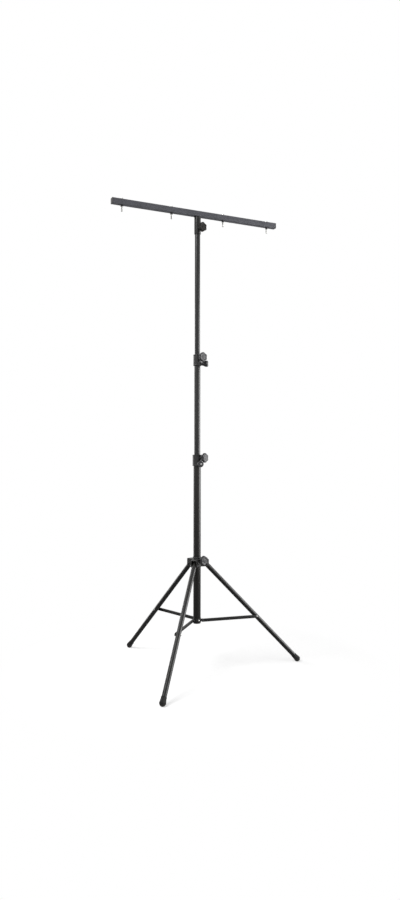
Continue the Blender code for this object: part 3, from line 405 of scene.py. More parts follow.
def hexagon(width, start, end, place=Matrix(), bore=0.0, both_ends=True):
    """Hexagonal head or nut with its corners turned off, and a bore if it has one."""
    flat = width / 2
    corner = flat * 2 / math.sqrt(3)
    face = flat * HEXAGON_FACE
    depth = corner - face

    def reach(entry, angle):
        if entry[0] <= bore:
            return entry[0]
        side = (angle % (math.pi / 3)) - math.pi / 6
        return min(flat / math.cos(side), entry[0])

    shares = [step / HEXAGON_RINGS for step in range(HEXAGON_RINGS + 1)]
    upper = [(face + depth * share, end - depth * HEXAGON_SLOPE * share) for share in shares]
    lower = [(corner, start)]
    if both_ends:
        lower = [(radius, start + end - z) for radius, z in reversed(upper)]
    profile = [(bore, end), *upper, *lower, (bore, start)]
    mesh = shaped(profile, reach, FASTENER_STEPS, closed=bore > 0)
    mesh.transform(place)
    return mesh


def rounded(corners, radius, steps):
    """Outline through anticlockwise corners, with each corner a true arc."""
    points = []
    count = len(corners)
    for i, corner in enumerate(corners):
        here = Vector(corner)
        before = (Vector(corners[i - 1]) - here).normalized()
        after = (Vector(corners[(i + 1) % count]) - here).normalized()
        half = before.angle(after) / 2
        centre = here + (before + after).normalized() * (radius / math.sin(half))
        first = here + before * (radius / math.tan(half)) - centre
        for step in range(steps + 1):
            turn = Matrix.Rotation((math.pi - 2 * half) * step / steps, 2)
            points.append(centre + turn @ first)
    return points


def rectangle(left, right, low, high, corner, steps=6):
    """Outline of a rectangle with its corners rounded."""
    return rounded([(left, low), (right, low), (right, high), (left, high)], corner, steps)


def plate(outlines, low, high, place=Matrix()):
    """Flat outlines, the first round the others, filled from one height to another."""
    curve = bpy.data.curves.new("outline", "CURVE")
    curve.dimensions = "2D"
    curve.fill_mode = "BOTH"
    curve.extrude = (high - low) / 2
    for outline in outlines:
        spline = curve.splines.new("POLY")
        spline.points.add(len(outline) - 1)
        for point, spot in zip(spline.points, outline):
            point.co = (spot[0], spot[1], 0.0, 1.0)
        spline.use_cyclic_u = True
    mesh = settle(workpiece(curve))
    bm = bmesh.new()
    bm.from_mesh(mesh)
    bmesh.ops.remove_doubles(bm, verts=bm.verts, dist=SAME_SPOT)
    bmesh.ops.dissolve_limit(bm, angle_limit=SAME_PLANE, verts=bm.verts, edges=bm.edges)
    bmesh.ops.recalc_face_normals(bm, faces=bm.faces)
    lift = Matrix.Translation((0, 0, (low + high) / 2))
    bmesh.ops.transform(bm, matrix=place @ lift, verts=bm.verts)
    return mesh_of(bm)


def block(size, place):
    bm = bmesh.new()
    bmesh.ops.create_cube(bm, size=1.0, matrix=place @ Matrix.Diagonal((*size, 1.0)))
    return mesh_of(bm)


def boolean(mesh, others, operation):
    obj = workpiece(mesh)
    helpers = [workpiece(other) for other in others]
    for helper in helpers:
        modifier = obj.modifiers.new(operation.lower(), "BOOLEAN")
        modifier.operation = operation
        modifier.solver = "EXACT"
        modifier.object = helper
    result = settle(obj)
    for helper in helpers:
        bpy.data.objects.remove(helper, do_unlink=True)
    return result


def joined(mesh, *others):
    return boolean(mesh, others, "UNION")


def cut(mesh, *others):
    return boolean(mesh, others, "DIFFERENCE")


def gathered(*meshes):
    """Several closed shapes as one mesh."""
    bm = bmesh.new()
    for mesh in meshes:
        bm.from_mesh(mesh)
    return mesh_of(bm)


def bevelled(mesh, width, segments=3):
    obj = workpiece(mesh)
    bevel = obj.modifiers.new("edges", "BEVEL")
    bevel.width = width
    bevel.segments = segments
    bevel.limit_method = "ANGLE"
    bevel.angle_limit = BEVEL_FROM
    return settle(obj)


def as_cast(mesh, grain, rounds=6):
    """The shape with the soft edges and fillets of a casting."""
    obj = workpiece(mesh)
    remesh = obj.modifiers.new("even skin", "REMESH")
    remesh.mode = "VOXEL"
    remesh.voxel_size = grain
    smooth = obj.modifiers.new("fillets", "SMOOTH")
    smooth.factor = 0.5
    smooth.iterations = rounds
    return settle(obj)


# Places

def on_mast(height):
    return Matrix.Translation((MAST_X, MAST_Y, height))


def radial(angle_deg, height):
    """Z points away from the mast, at this angle and height."""
    return (
        Matrix.Rotation(math.radians(angle_deg), 4, "Z")
        @ Matrix.Translation((0, 0, height))
        @ Matrix.Rotation(math.pi / 2, 4, "Y")
    )


def sideways(x, z):
    """Z points along the section's Y, through this spot of its XZ plane."""
    return Matrix.Translation((x, 0, z)) @ Matrix.Rotation(-math.pi / 2, 4, "X")


def other_way(x, z):
    return sideways(x, z) @ Matrix.Rotation(math.pi, 4, "X")


def upright():
    """The XY plane of an outline becomes the section's XZ plane."""
    return Matrix.Rotation(math.pi / 2, 4, "X")


def joint_angle(name):
    """Direction from the mast of a hinge whose axis lies across its leg."""
    axis = JOINTS[name]["axis"]
    return math.atan2(-axis[0], axis[1])


def axis_deg(name):
    """Direction of a joint's level axis, from +X."""
    axis = JOINTS[name]["axis"]
    return math.degrees(math.atan2(axis[1], axis[0]))


def pivot_radius(name):
    """How far a hinge stands from the middle of the mast."""
    return (Vector(JOINTS[name]["pos_m"]).xy - Vector((MAST_X, MAST_Y))).length


def hinge_place(name, tilt=0.0):
    """The section of one leg, with its origin at this hinge."""
    return (
        Matrix.Translation(JOINTS[name]["pos_m"])
        @ Matrix.Rotation(joint_angle(name), 4, "Z")
        @ Matrix.Rotation(-tilt, 4, "Y")
    )


LEG_DEGS = [math.degrees(joint_angle(f"leg_hinge_{i}")) for i in (1, 2, 3)]
LEG_PIVOT_RADIUS = pivot_radius("leg_hinge_1")
LEG_PIVOT_HEIGHT = JOINTS["leg_hinge_1"]["pos_m"][2]
HUB_PIVOT_RADIUS = pivot_radius("strut_hinge_1")
STRUT_RUN = LEG_PIVOT_RADIUS + STRUT_ON_LEG * math.sin(LEG_TILT) - HUB_PIVOT_RADIUS
STRUT_RISE = LEG_PIVOT_HEIGHT - STRUT_ON_LEG * math.cos(LEG_TILT) - HUB_PIVOT_HEIGHT
STRUT_LENGTH = math.hypot(STRUT_RUN, STRUT_RISE)
STRUT_TILT = math.atan2(STRUT_RISE, STRUT_RUN)


# Node trees and materials

FLOOR_DUST = (0.16, 0.15, 0.135)
DUST_HEIGHT = 0.022


class NodeTree:
    """A node tree in which an input is given as a value or as the socket of another node."""

    def __init__(self, tree):
        self.tree = tree

    def link(self, source, target):
        self.tree.links.new(source, target)

    def node(self, kind, inputs=(), **settings):
        node = self.tree.nodes.new(kind)
        for name, value in settings.items():
            setattr(node, name, value)
        for key, value in dict(inputs).items():
            if isinstance(value, bpy.types.NodeSocket):
                self.link(value, node.inputs[key])
            else:
                node.inputs[key].default_value = value
        return node

    def maths(self, operation, first, second=0.0):
        return self.node("ShaderNodeMath", {0: first, 1: second}, operation=operation).outputs[0]

    def along(self, first, second):
        """Dot product of two vectors."""
        return self.node(
            "ShaderNodeVectorMath", {0: first, 1: second}, operation="DOT_PRODUCT"
        ).outputs["Value"]


class Finish(NodeTree):
    """A Principled material whose colour, roughness and grain come from its own nodes."""

    def __init__(self, name, colour, roughness, metallic=0.0, specular=0.5):
        self.material = bpy.data.materials.new(name)
        self.material.use_nodes = True
        super().__init__(self.material.node_tree)
        self.shader = self.tree.nodes["Principled BSDF"]
        self.shader.inputs["Metallic"].default_value = metallic
        self.shader.inputs["Specular IOR Level"].default_value = specular
        self.colour = colour
        self.roughness = roughness
        self.spot = self.node("ShaderNodeTexCoord").outputs["Object"]
        self.tint = None

    def noise(self, scale, detail=3.0, stretch=None):
        spot = self.spot
        if stretch:
            spot = self.node("ShaderNodeMapping", {"Vector": spot, "Scale": stretch}).outputs[0]
        inputs = {"Vector": spot, "Scale": scale, "Detail": detail}
        return self.node("ShaderNodeTexNoise", inputs).outputs["Fac"]

    def ranged(self, value, low, high, from_low=0.3, from_high=0.7):
        inputs = {
            "Value": value, "From Min": from_low, "From Max": from_high,
            "To Min": low, "To Max": high,
        }
        return self.node("ShaderNodeMapRange", inputs).outputs["Result"]

    def mixed(self, share, first, second):
        """Colour between the two, either of which may be a colour or a socket."""
        inputs = {"Factor": share}
        for key, value in ((6, first), (7, second)):
            inputs[key] = (*value, 1.0) if isinstance(value, tuple) else value
        return self.node("ShaderNodeMix", inputs, data_type="RGBA").outputs[2]

    def shade(self, value, amount=0.12):
        """Uneven colour: the base colour darker and lighter by a share."""
        dark = tuple(channel * (1 - amount) for channel in self.colour)
        light = tuple(channel * (1 + amount) for channel in self.colour)
        self.tint = self.mixed(self.ranged(value, 0.0, 1.0), dark, light)

    def sheen_range(self, value, spread):
        rough = self.ranged(value, self.roughness - spread, self.roughness + spread)
        self.link(rough, self.shader.inputs["Roughness"])

    def bump(self, height, distance):
        inputs = {"Height": height, "Distance": distance, "Strength": 1.0}
        bump = self.node("ShaderNodeBump", inputs)
        self.link(bump.outputs["Normal"], self.shader.inputs["Normal"])

    def worn_edges(self, worn_colour, width=0.0012, amount=0.6):
        """Paint rubbed off along the edges, broken up by a noise."""
        soft = self.node("ShaderNodeBevel", {"Radius": width}, samples=4).outputs["Normal"]
        plain = self.node("ShaderNodeNewGeometry").outputs["Normal"]
        edge = self.ranged(self.along(soft, plain), 1.0, 0.0, from_low=0.80, from_high=0.98)
        patchy = self.ranged(self.noise(160.0), 0.0, amount, from_low=0.45, from_high=0.65)
        self.tint = self.mixed(self.maths("MULTIPLY", edge, patchy), self.tint, worn_colour)

    def dusty_below(self, height, dust):
        """Dust up to this height, broken up by a noise."""
        level = self.node("ShaderNodeSeparateXYZ", {0: self.spot}).outputs["Z"]
        low = self.ranged(level, 0.7, 0.0, from_low=0.0, from_high=height)
        patchy = self.ranged(self.noise(260.0), 0.1, 0.8)
        self.tint = self.mixed(self.maths("MULTIPLY", low, patchy), self.tint, dust)

    def done(self):
        self.link(self.tint, self.shader.inputs["Base Color"])
        self.material.diffuse_color = (*self.colour, 1.0)
        return self.material


def powder_coat(name, colour, roughness, specular):
    """Powder coat on tube: orange peel, faint lengthwise rubbing, uneven sheen."""
    finish = Finish(name, colour, roughness, specular=specular)
    finish.shade(finish.noise(14.0))
    finish.sheen_range(finish.noise(60.0, detail=4.0, stretch=(1.0, 1.0, 0.05)), 0.04)
    finish.bump(finish.noise(900.0, detail=2.0), 0.00006)
    return finish.done()


def cast_coat(name, colour, roughness, worn=(0.16, 0.155, 0.15)):
    """Coat on a casting: pebbled skin and slightly rubbed edges."""
    finish = Finish(name, colour, roughness)
    finish.shade(finish.noise(40.0))
    finish.worn_edges(worn)
    finish.sheen_range(finish.noise(220.0), 0.07)
    finish.bump(finish.noise(700.0), 0.00015)
    return finish.done()


def moulded_plastic(name, colour, roughness, specular=0.5):
    """Plastic with a fine grain and hardly any unevenness of colour."""
    finish = Finish(name, colour, roughness, specular=specular)
    finish.shade(finish.noise(90.0), 0.08)
    finish.sheen_range(finish.noise(300.0), 0.05)
    finish.bump(finish.noise(1500.0, detail=2.0), 0.00008)
    return finish.done()


def rubber(name, colour):
    """Dull rubber with floor dust on the lowest few millimetres."""
    finish = Finish(name, colour, 0.82, specular=0.3)
    finish.shade(finish.noise(120.0), 0.2)
    finish.dusty_below(DUST_HEIGHT, FLOOR_DUST)
    finish.sheen_range(finish.noise(400.0), 0.06)
    finish.bump(finish.noise(1100.0), 0.00012)
    return finish.done()


def zinc_plate(name, colour=(0.62, 0.62, 0.60), roughness=0.34):
    """Zinc on steel, mottled in colour and in sheen."""
    finish = Finish(name, colour, roughness, metallic=1.0)
    finish.shade(finish.noise(350.0, detail=4.0), 0.14)
    finish.sheen_range(finish.noise(180.0, detail=4.0), 0.09)
    finish.bump(finish.noise(2200.0, detail=2.0), 0.00002)
    return finish.done()


COAT_LOWER = powder_coat("coat_lower_tube", (0.0110, 0.0100, 0.0090), 0.36, specular=0.36)
COAT_MIDDLE = powder_coat("coat_middle_tube", (0.0170, 0.0170, 0.0165), 0.32, specular=0.46)
COAT_UPPER = powder_coat("coat_upper_tube", (0.0150, 0.0150, 0.0148), 0.32, specular=0.44)
COAT_LEG = powder_coat("coat_legs", (0.0120, 0.0118, 0.0112), 0.36, specular=0.33)
COAT_STRUT = powder_coat("coat_struts", (0.0125, 0.0123, 0.0118), 0.38, specular=0.40)
COAT_BAR = powder_coat("coat_crossbar", (0.080, 0.081, 0.093), 0.46, specular=0.42)
COAT_RECEIVER = powder_coat("coat_receiver", (0.0120, 0.0120, 0.0115), 0.38, specular=0.40)
CASTING = cast_coat("coat_clamp_castings", (0.024, 0.0235, 0.0235), 0.44)
LEG_CASTING = cast_coat("coat_leg_collar", (0.018, 0.018, 0.0175), 0.44)
KNOB_PLASTIC = moulded_plastic("knob_plastic", (0.033, 0.033, 0.036), 0.46, specular=0.40)
# The receiver's knob: the knob plastic made matt, with its colour darker than the other knobs' as
# painted shade
MATT_SHADED_KNOB_PLASTIC = moulded_plastic(
    "matt_knob_plastic", (0.020, 0.0185, 0.017), 0.62, specular=0.16
)
CAP_PLASTIC = moulded_plastic("cap_plastic", (0.035, 0.034, 0.034), 0.48)
NYLON = moulded_plastic("bush_nylon", (0.020, 0.020, 0.020), 0.55)
FOOT_RUBBER = rubber("foot_rubber", (0.020, 0.020, 0.020))
ZINC = zinc_plate("zinc_plate")
DULL_ZINC = zinc_plate("dull_zinc_plate", (0.36, 0.36, 0.355), 0.50)
BLACK_ZINC = zinc_plate("black_zinc_plate", (0.085, 0.085, 0.088), 0.42)


# Geometry Nodes

class Rule(NodeTree):
    """A Geometry Nodes tree that makes what repeats, with named inputs for its sizes."""

    def __init__(self, name, sizes):
        super().__init__(bpy.data.node_groups.new(name, "GeometryNodeTree"))
        interface = self.tree.interface
        interface.new_socket("Geometry", in_out="INPUT", socket_type="NodeSocketGeometry")
        for size in sizes:
            kind = "NodeSocketInt" if size.startswith("Count") else "NodeSocketFloat"
            interface.new_socket(size, in_out="INPUT", socket_type=kind)
        interface.new_socket("Material", in_out="INPUT", socket_type="NodeSocketMaterial")
        interface.new_socket("Geometry", in_out="OUTPUT", socket_type="NodeSocketGeometry")
        self.given = self.tree.nodes.new("NodeGroupInput").outputs

    def end(self, geometry):
        real = self.node("GeometryNodeRealizeInstances", {"Geometry": geometry})
        coated = self.node(
            "GeometryNodeSetMaterial",
            {"Geometry": real.outputs[0], "Material": self.given["Material"]},
        )
        self.node("NodeGroupOutput", {"Geometry": coated.outputs[0]})

    def made(self, base, material, **values):
        """Plain mesh of the rule on a base mesh."""
        obj = workpiece(base)
        modifier = obj.modifiers.new("rule", "NODES")
        modifier.node_group = self.tree
        for item in self.tree.interface.items_tree:
            if item.in_out != "INPUT" or item.name == "Geometry":
                continue
            key = item.name.replace(" ", "_").lower()
            modifier[item.identifier] = material if item.name == "Material" else values[key]
        obj.update_tag()
        return settle(obj)


def spots_mesh(spots, path=False):
    mesh = bpy.data.meshes.new("spots")
    edges = [(i, i + 1) for i in range(len(spots) - 1)] if path else []
    mesh.from_pydata(spots, edges, [])
    return mesh


def thread_rule():
    """Threaded rod along Z from zero, at each vertex of the base mesh."""
    rule = Rule("thread", ["Radius", "Length", "Pitch", "Depth", "Count of rings"])
    given = rule.given
    rod_mesh = rule.node(
        "GeometryNodeMeshCylinder",
        {
            "Vertices": THREAD_STEPS, "Side Segments": given["Count of rings"],
            "Radius": given["Radius"], "Depth": given["Length"],
        },
    )
    spot = rule.node("GeometryNodeInputPosition").outputs[0]
    axes = rule.node("ShaderNodeSeparateXYZ", {0: spot}).outputs
    turn = rule.maths("ARCTAN2", axes["Y"], axes["X"])
    turns = rule.maths("DIVIDE", turn, math.tau)
    climb = rule.maths("DIVIDE", axes["Z"], given["Pitch"])
    phase = rule.maths("FRACT", rule.maths("SUBTRACT", climb, turns))
    ridge = rule.maths("ABSOLUTE", rule.maths("SUBTRACT", rule.maths("MULTIPLY", phase, 2.0), 1.0))
    half = rule.maths("MULTIPLY", given["Length"], 0.5)
    to_end = rule.maths("SUBTRACT", half, rule.maths("ABSOLUTE", axes["Z"]))
    near_end = rule.node(
        "ShaderNodeMapRange", {0: to_end, 1: 0.0, 2: given["Depth"], 3: 1.0, 4: 0.0}
    ).outputs[0]
    sunk = rule.maths("MAXIMUM", ridge, near_end)
    inward = rule.maths("MULTIPLY", rule.maths("MULTIPLY", sunk, given["Depth"]), -1.0)
    flat = rule.node("ShaderNodeCombineXYZ", {0: axes["X"], 1: axes["Y"]}).outputs[0]
    outward = rule.node("ShaderNodeVectorMath", {0: flat}, operation="NORMALIZE").outputs[0]
    offset = rule.node(
        "ShaderNodeVectorMath", {0: outward, "Scale": inward}, operation="SCALE"
    ).outputs[0]
    cut_rod = rule.node("GeometryNodeSetPosition", {"Geometry": rod_mesh.outputs[0], "Offset": offset})
    lift = rule.node("ShaderNodeCombineXYZ", {2: half}).outputs[0]
    stood = rule.node("GeometryNodeTransform", {"Geometry": cut_rod.outputs[0], "Translation": lift})
    copies = rule.node(
        "GeometryNodeInstanceOnPoints", {"Points": given["Geometry"], "Instance": stood.outputs[0]}
    )
    rule.end(copies.outputs[0])
    return rule


def bead_rule():
    """Overlapping drops of weld metal along each edge path of the base mesh."""
    rule = Rule("weld_bead", ["Spacing", "Radius", "Flatness"])
    given = rule.given
    path = rule.node("GeometryNodeMeshToCurve", {"Mesh": given["Geometry"]})
    even = rule.node(
        "GeometryNodeResampleCurve",
        {"Curve": path.outputs[0], "Length": given["Spacing"]},
        mode="LENGTH",
    )
    drop = rule.node(
        "GeometryNodeMeshIcoSphere",
        {"Radius": given["Radius"], "Subdivisions": WELD_SUBDIVISIONS},
    )
    size = rule.node("ShaderNodeCombineXYZ", {0: 1.0, 1: 1.0, 2: given["Flatness"]}).outputs[0]
    copies = rule.node(
        "GeometryNodeInstanceOnPoints",
        {"Points": even.outputs[0], "Instance": drop.outputs[0], "Scale": size},
    )
    rule.end(copies.outputs[0])
    return rule


def grip_rule():
    """Small ribs all round a grip, standing on a circle about Z."""
    rule = Rule("grip_ribs", ["Count of ribs", "Radius", "Bottom", "Length", "Width"])
    given = rule.given
    circle = rule.node(
        "GeometryNodeMeshCircle", {"Vertices": given["Count of ribs"], "Radius": given["Radius"]}
    )
    rib = rule.node(
        "GeometryNodeMeshCylinder",
        {"Vertices": GRIP_RIB_SIDES, "Radius": given["Width"], "Depth": given["Length"]},
    )
    middle = rule.maths("ADD", given["Bottom"], rule.maths("MULTIPLY", given["Length"], 0.5))
    lift = rule.node("ShaderNodeCombineXYZ", {2: middle}).outputs[0]
    raised = rule.node("GeometryNodeTransform", {"Geometry": rib.outputs[0], "Translation": lift})
    copies = rule.node(
        "GeometryNodeInstanceOnPoints", {"Points": circle.outputs[0], "Instance": raised.outputs[0]}
    )
    both = rule.node("GeometryNodeJoinGeometry")
    rule.link(given["Geometry"], both.inputs[0])
    rule.link(copies.outputs[0], both.inputs[0])
    rule.end(both.outputs[0])
    return rule


THREAD = thread_rule()
BEAD = bead_rule()
GRIP = grip_rule()


def thread(radius, start, end, pitch, places=(0.0,)):
    """Threaded rods between two heights, one at each place along X."""
    length = end - start
    return THREAD.made(
        spots_mesh([(x, 0.0, start) for x in places]), ZINC, radius=radius, length=length,
        pitch=pitch, depth=pitch * THREAD_DEPTH,
        count_of_rings=int(length / pitch * THREAD_RINGS),
    )


# Putting pieces on their bodies

def add(name, mesh, material, body, place, nodes, sharp_deg=35.0):
    """A finished piece at the origin, with its place in its mesh."""
    mesh.transform(place)
    mesh.name = name
    mesh.shade_smooth()
    mesh.set_sharp_from_angle(angle=math.radians(sharp_deg))
    mesh.materials.clear()
    mesh.materials.append(material)
    for polygon in mesh.polygons:
        polygon.material_index = 0
    obj = workpiece(mesh)
    obj.name = name
    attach(obj, body)
    if nodes:
        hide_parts(*nodes)


# Mast

def dress_tubes():
    for node, radius, coat, body in (
        ("lower_tube", LOWER_RADIUS, COAT_LOWER, "base"),
        ("middle_tube", MIDDLE_RADIUS, COAT_MIDDLE, "middle_section"),
        ("upper_tube", UPPER_RADIUS, COAT_UPPER, "upper_section"),
    ):
        low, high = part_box(node)
        mesh = pipe(radius, TUBE_WALL, low.z, high.z)
        add("mast_" + node, mesh, coat, body, on_mast(0), [node])


def dress_tube_foot(node, outer_radius, inner_radius, body, tube_end):
    """Guide foot round an inner tube's lower end, with a lip that closes it."""
    slide = outer_radius - TUBE_WALL - GAP
    seat = inner_radius + GAP
    lip = inner_radius - TUBE_WALL - TUBE_FOOT_LIP
    bottom = -GAP - TUBE_FOOT_FLOOR
    outline = [
        (slide, TUBE_FOOT_SLEEVE), (slide, bottom), (lip, bottom),
        (lip, -GAP), (seat, -GAP), (seat, TUBE_FOOT_SLEEVE),
    ]
    mesh = turned(softened(outline, TUBE_FOOT_EASE))
    add("guide_" + node, mesh, NYLON, body, on_mast(tube_end), [node])


def dress_bush(node, outer_radius, inner_radius, body, tube_top):
    """Flanged guide bush in the mouth of an outer tube."""
    bore = inner_radius + GAP
    sleeve = outer_radius - TUBE_WALL - GAP
    top = GAP + BUSH_FLANGE
    outline = [
        (outer_radius, top), (outer_radius, GAP), (sleeve, GAP),
        (sleeve, -BUSH_SLEEVE), (bore, -BUSH_SLEEVE), (bore, top),
    ]
    mesh = turned(softened(outline, BUSH_EASE))
    add("mouth_" + node, mesh, NYLON, body, on_mast(tube_top), [node])


def dress_mast_end():
    """Hollow plug with a flange, and a shallow dish in its lower face."""
    bore = LOWER_RADIUS - TUBE_WALL - GAP
    cup = bore - MAST_PLUG_WALL
    dish = MAST_PLUG_DISH_DEPTH - MAST_PLUG_FLANGE
    outline = [
        (0, 0), (cup, 0), (cup, MAST_PLUG_INSERT), (bore, MAST_PLUG_INSERT),
        (bore, -GAP), (LOWER_RADIUS, -GAP), (LOWER_RADIUS, -MAST_PLUG_FLANGE),
        (MAST_PLUG_DISH_RADIUS, -MAST_PLUG_FLANGE), (MAST_PLUG_DISH_FLOOR, dish), (0, dish),
    ]
    mesh = turned(softened(outline, MAST_PLUG_EASE, closed=False), closed=False)
    add("mast_end_cap", mesh, CAP_PLASTIC, "base", on_mast(MAST_END), ["mast_end_plug"])


# Clamps

def clamp_radius(outer_radius):
    return outer_radius + GAP + CLAMP_WALL


def clamp_collar(outer_radius, inner_radius, knob_deg, plunger_deg):
    """Cast collar with its two bosses and a raised rim at each end."""
    face = clamp_radius(outer_radius)
    waist = face - CLAMP_WAIST
    seat = outer_radius + GAP + CAST_BORE_EASE
    throat = inner_radius + SLIDE_CLEARANCE + CAST_BORE_EASE
    shoulder = CLAMP_GRIP + GAP + BUSH_FLANGE + GAP
    outline = [
        (face, CLAMP_HEIGHT), (face, CLAMP_HEIGHT - CLAMP_RIM),
        (waist, CLAMP_HEIGHT - CLAMP_RIM - CLAMP_SLOPE), (waist, CLAMP_RIM + CLAMP_SLOPE),
        (face, CLAMP_RIM), (face, 0),
        (seat, 0), (seat, shoulder), (throat, shoulder), (throat, CLAMP_HEIGHT),
    ]
    body = turned(softened(outline, CLAMP_EASE))
    root = face - CLAMP_WALL / 2
    boss, screw_hole = drilled_boss(
        BOSS_RADIUS, SCREW_RADIUS, root, face + BOSS_STAND_OUT, radial(knob_deg, CLAMP_KNOB_RISE)
    )
    plunger_boss, plunger_hole = drilled_boss(
        PLUNGER_BOSS_RADIUS, PLUNGER_BODY_RADIUS, root, face + PLUNGER_BOSS_STAND_OUT,
        radial(plunger_deg, CLAMP_PLUNGER_RISE),
    )
    solid = cut(joined(body, boss, plunger_boss), screw_hole, plunger_hole)
    return as_cast(solid, CLAMP_GRAIN)


def dress_clamp(prefix, body, bottom, outer_radius, inner_radius):
    knob_deg = axis_deg(prefix + "_clamp_knob_turn")
    pull_deg = axis_deg(prefix + "_plunger_pull")
    collar = clamp_collar(outer_radius, inner_radius, knob_deg, pull_deg)
    add(
        prefix + "_collar_casting", collar, CASTING, body, on_mast(bottom),
        [prefix + "_clamp_collar"],
    )
    dress_bush(prefix + "_clamp_bush", outer_radius, inner_radius, body, bottom + CLAMP_GRIP)
    dress_knob(
        prefix + "_clamp", prefix + "_clamp_screw", knob_deg, bottom + CLAMP_KNOB_RISE,
        inner_radius + GAP, clamp_radius(outer_radius) + BOSS_STAND_OUT,
    )
    dress_plunger(prefix, body, outer_radius, inner_radius, pull_deg, bottom + CLAMP_PLUNGER_RISE)


def dress_plunger(prefix, body, outer_radius, inner_radius, angle_deg, height):
    """Sleeve with its hexagon in the clamp, and the knob and pin that are pulled out of it."""
    place = on_mast(0) @ radial(angle_deg, height)
    start = outer_radius + GAP
    nut_start = clamp_radius(outer_radius) + PLUNGER_BOSS_STAND_OUT + GAP
    nut_end = nut_start + PLUNGER_NUT_DEPTH
    bore = PLUNGER_PIN_RADIUS + GAP
    outline = [
        (PLUNGER_BODY_RADIUS, nut_start + BURIED), (PLUNGER_BODY_RADIUS, start),
        (bore, start), (bore, nut_start + BURIED),
    ]
    sleeve = turned(softened(outline, PLUNGER_BODY_EASE), FASTENER_STEPS)
    nut = hexagon(PLUNGER_NUT_WIDTH, nut_start, nut_end, bore=bore)
    add(
        prefix + "_plunger_sleeve", gathered(sleeve, nut), BLACK_ZINC, body, place,
        [prefix + "_plunger_body"],
    )
    knob_start = nut_end + GAP
    end = knob_start + PLUNGER_KNOB_DEPTH
    rim = PLUNGER_KNOB_RADIUS
    rim_start = end - PLUNGER_KNOB_EDGE - PLUNGER_KNOB_RIM
    outline = [
        (bore, end), (PLUNGER_HEAD_RADIUS + PLUNGER_FACE_HOLE, end), (rim - PLUNGER_FACE_IN, end),
        (rim, end - PLUNGER_KNOB_EDGE), (rim, rim_start),
        (PLUNGER_KNOB_NECK, knob_start + PLUNGER_KNOB_ROOT), (PLUNGER_KNOB_NECK, knob_start),
        (bore, knob_start),
    ]
    knob = turned(softened(outline, PLUNGER_KNOB_EASE, steps=5), SMALL_STEPS)
    grip = GRIP.made(
        knob, KNOB_PLASTIC, count_of_ribs=GRIP_RIBS, radius=rim - GRIP_RIB_IN,
        bottom=rim_start, length=PLUNGER_KNOB_RIM, width=GRIP_RIB_RADIUS,
    )
    add(
        prefix + "_pull_knob", grip, KNOB_PLASTIC, prefix + "_plunger", place,
        [prefix + "_plunger_knob"],
    )
    tip = inner_radius + GAP
    face = end + GAP
    top = face + PLUNGER_HEAD_DEPTH
    outline = [
        (0, top), (PLUNGER_HEAD_RADIUS, top), (PLUNGER_HEAD_RADIUS, face),
        (PLUNGER_PIN_RADIUS, face), (PLUNGER_PIN_RADIUS, tip), (0, tip),
    ]
    pin = turned(softened(outline, PLUNGER_PIN_EASE, closed=False), BOSS_STEPS, closed=False)
    add(
        prefix + "_plunger_stem", pin, DULL_ZINC, prefix + "_plunger", place,
        [prefix + "_plunger_pin"],
    )


# Knobs and their screws

def star_knob():
    """Star knob from the end of its hub: six lobes, a dished face and a blind bore."""
    radius = KNOB_RADIUS
    hub = KNOB_HUB_DEPTH
    top = KNOB_HUB_DEPTH + KNOB_HEAD_DEPTH
    bore = SCREW_RADIUS + GAP
    inside = SCREW_IN_KNOB + GAP
    # Each ring: radius, height, and how much of the hollows between the lobes it takes
    profile = [
        (0, inside, 0), (bore, inside, 0), (bore, 0, 0),
        (KNOB_HUB_RADIUS - 0.0008, 0, 0), (KNOB_HUB_RADIUS, 0.0008, 0),
        (KNOB_HUB_RADIUS, hub - 0.002, 0), (KNOB_HUB_RADIUS + 0.0006, hub - 0.0006, 0),
        (KNOB_HUB_RADIUS + 0.002, hub, 0.1),
        (radius - 0.004, hub, 0.9), (radius - 0.0012, hub + 0.0006, 1),
        (radius - 0.0002, hub + 0.0016, 1), (radius, hub + 0.0035, 1),
        (radius, top - 0.0045, 1), (radius - 0.0003, top - 0.0026, 1),
        (radius - 0.0011, top - 0.0011, 1), (radius - 0.0024, top - 0.0003, 1),
        (radius - 0.0042, top, 1), (radius - 0.0075, top, 0.75),
        (radius - 0.0090, top - 0.0005, 0.45), (radius - 0.0115, top - 0.0011, 0.1),
        (0.0120, top - 0.0012, 0), (0.0108, top - 0.0010, 0), (0.0100, top - 0.0002, 0),
        (0.0088, top, 0), (0, top, 0),
    ]

    def reach(entry, angle):
        hollow = 0.5 - 0.5 * math.cos(KNOB_LOBES * angle)
        return entry[0] - entry[2] * KNOB_LOBE_DEPTH * hollow

    return shaped(profile, reach, KNOB_STEPS, closed=False)


def dress_knob(prefix, body, angle_deg, height, tip, boss_end, plastic=KNOB_PLASTIC):
    """Star knob with its screw, whose tip touches the tube that it clamps."""
    place = on_mast(0) @ radial(angle_deg, height)
    start = boss_end + KNOB_STAND_OFF
    mesh = star_knob()
    mesh.transform(Matrix.Translation((0, 0, start)))
    add(
        prefix + "_star_knob", mesh, plastic, body, place, [prefix + "_knob"],
        sharp_deg=30.0,
    )
    screw = thread(SCREW_RADIUS, tip, start + SCREW_IN_KNOB, SCREW_PITCH)
    add(
        prefix + "_threaded_screw", screw, ZINC, body, place, [prefix + "_screw"],
        sharp_deg=60.0,
    )


# Tripod

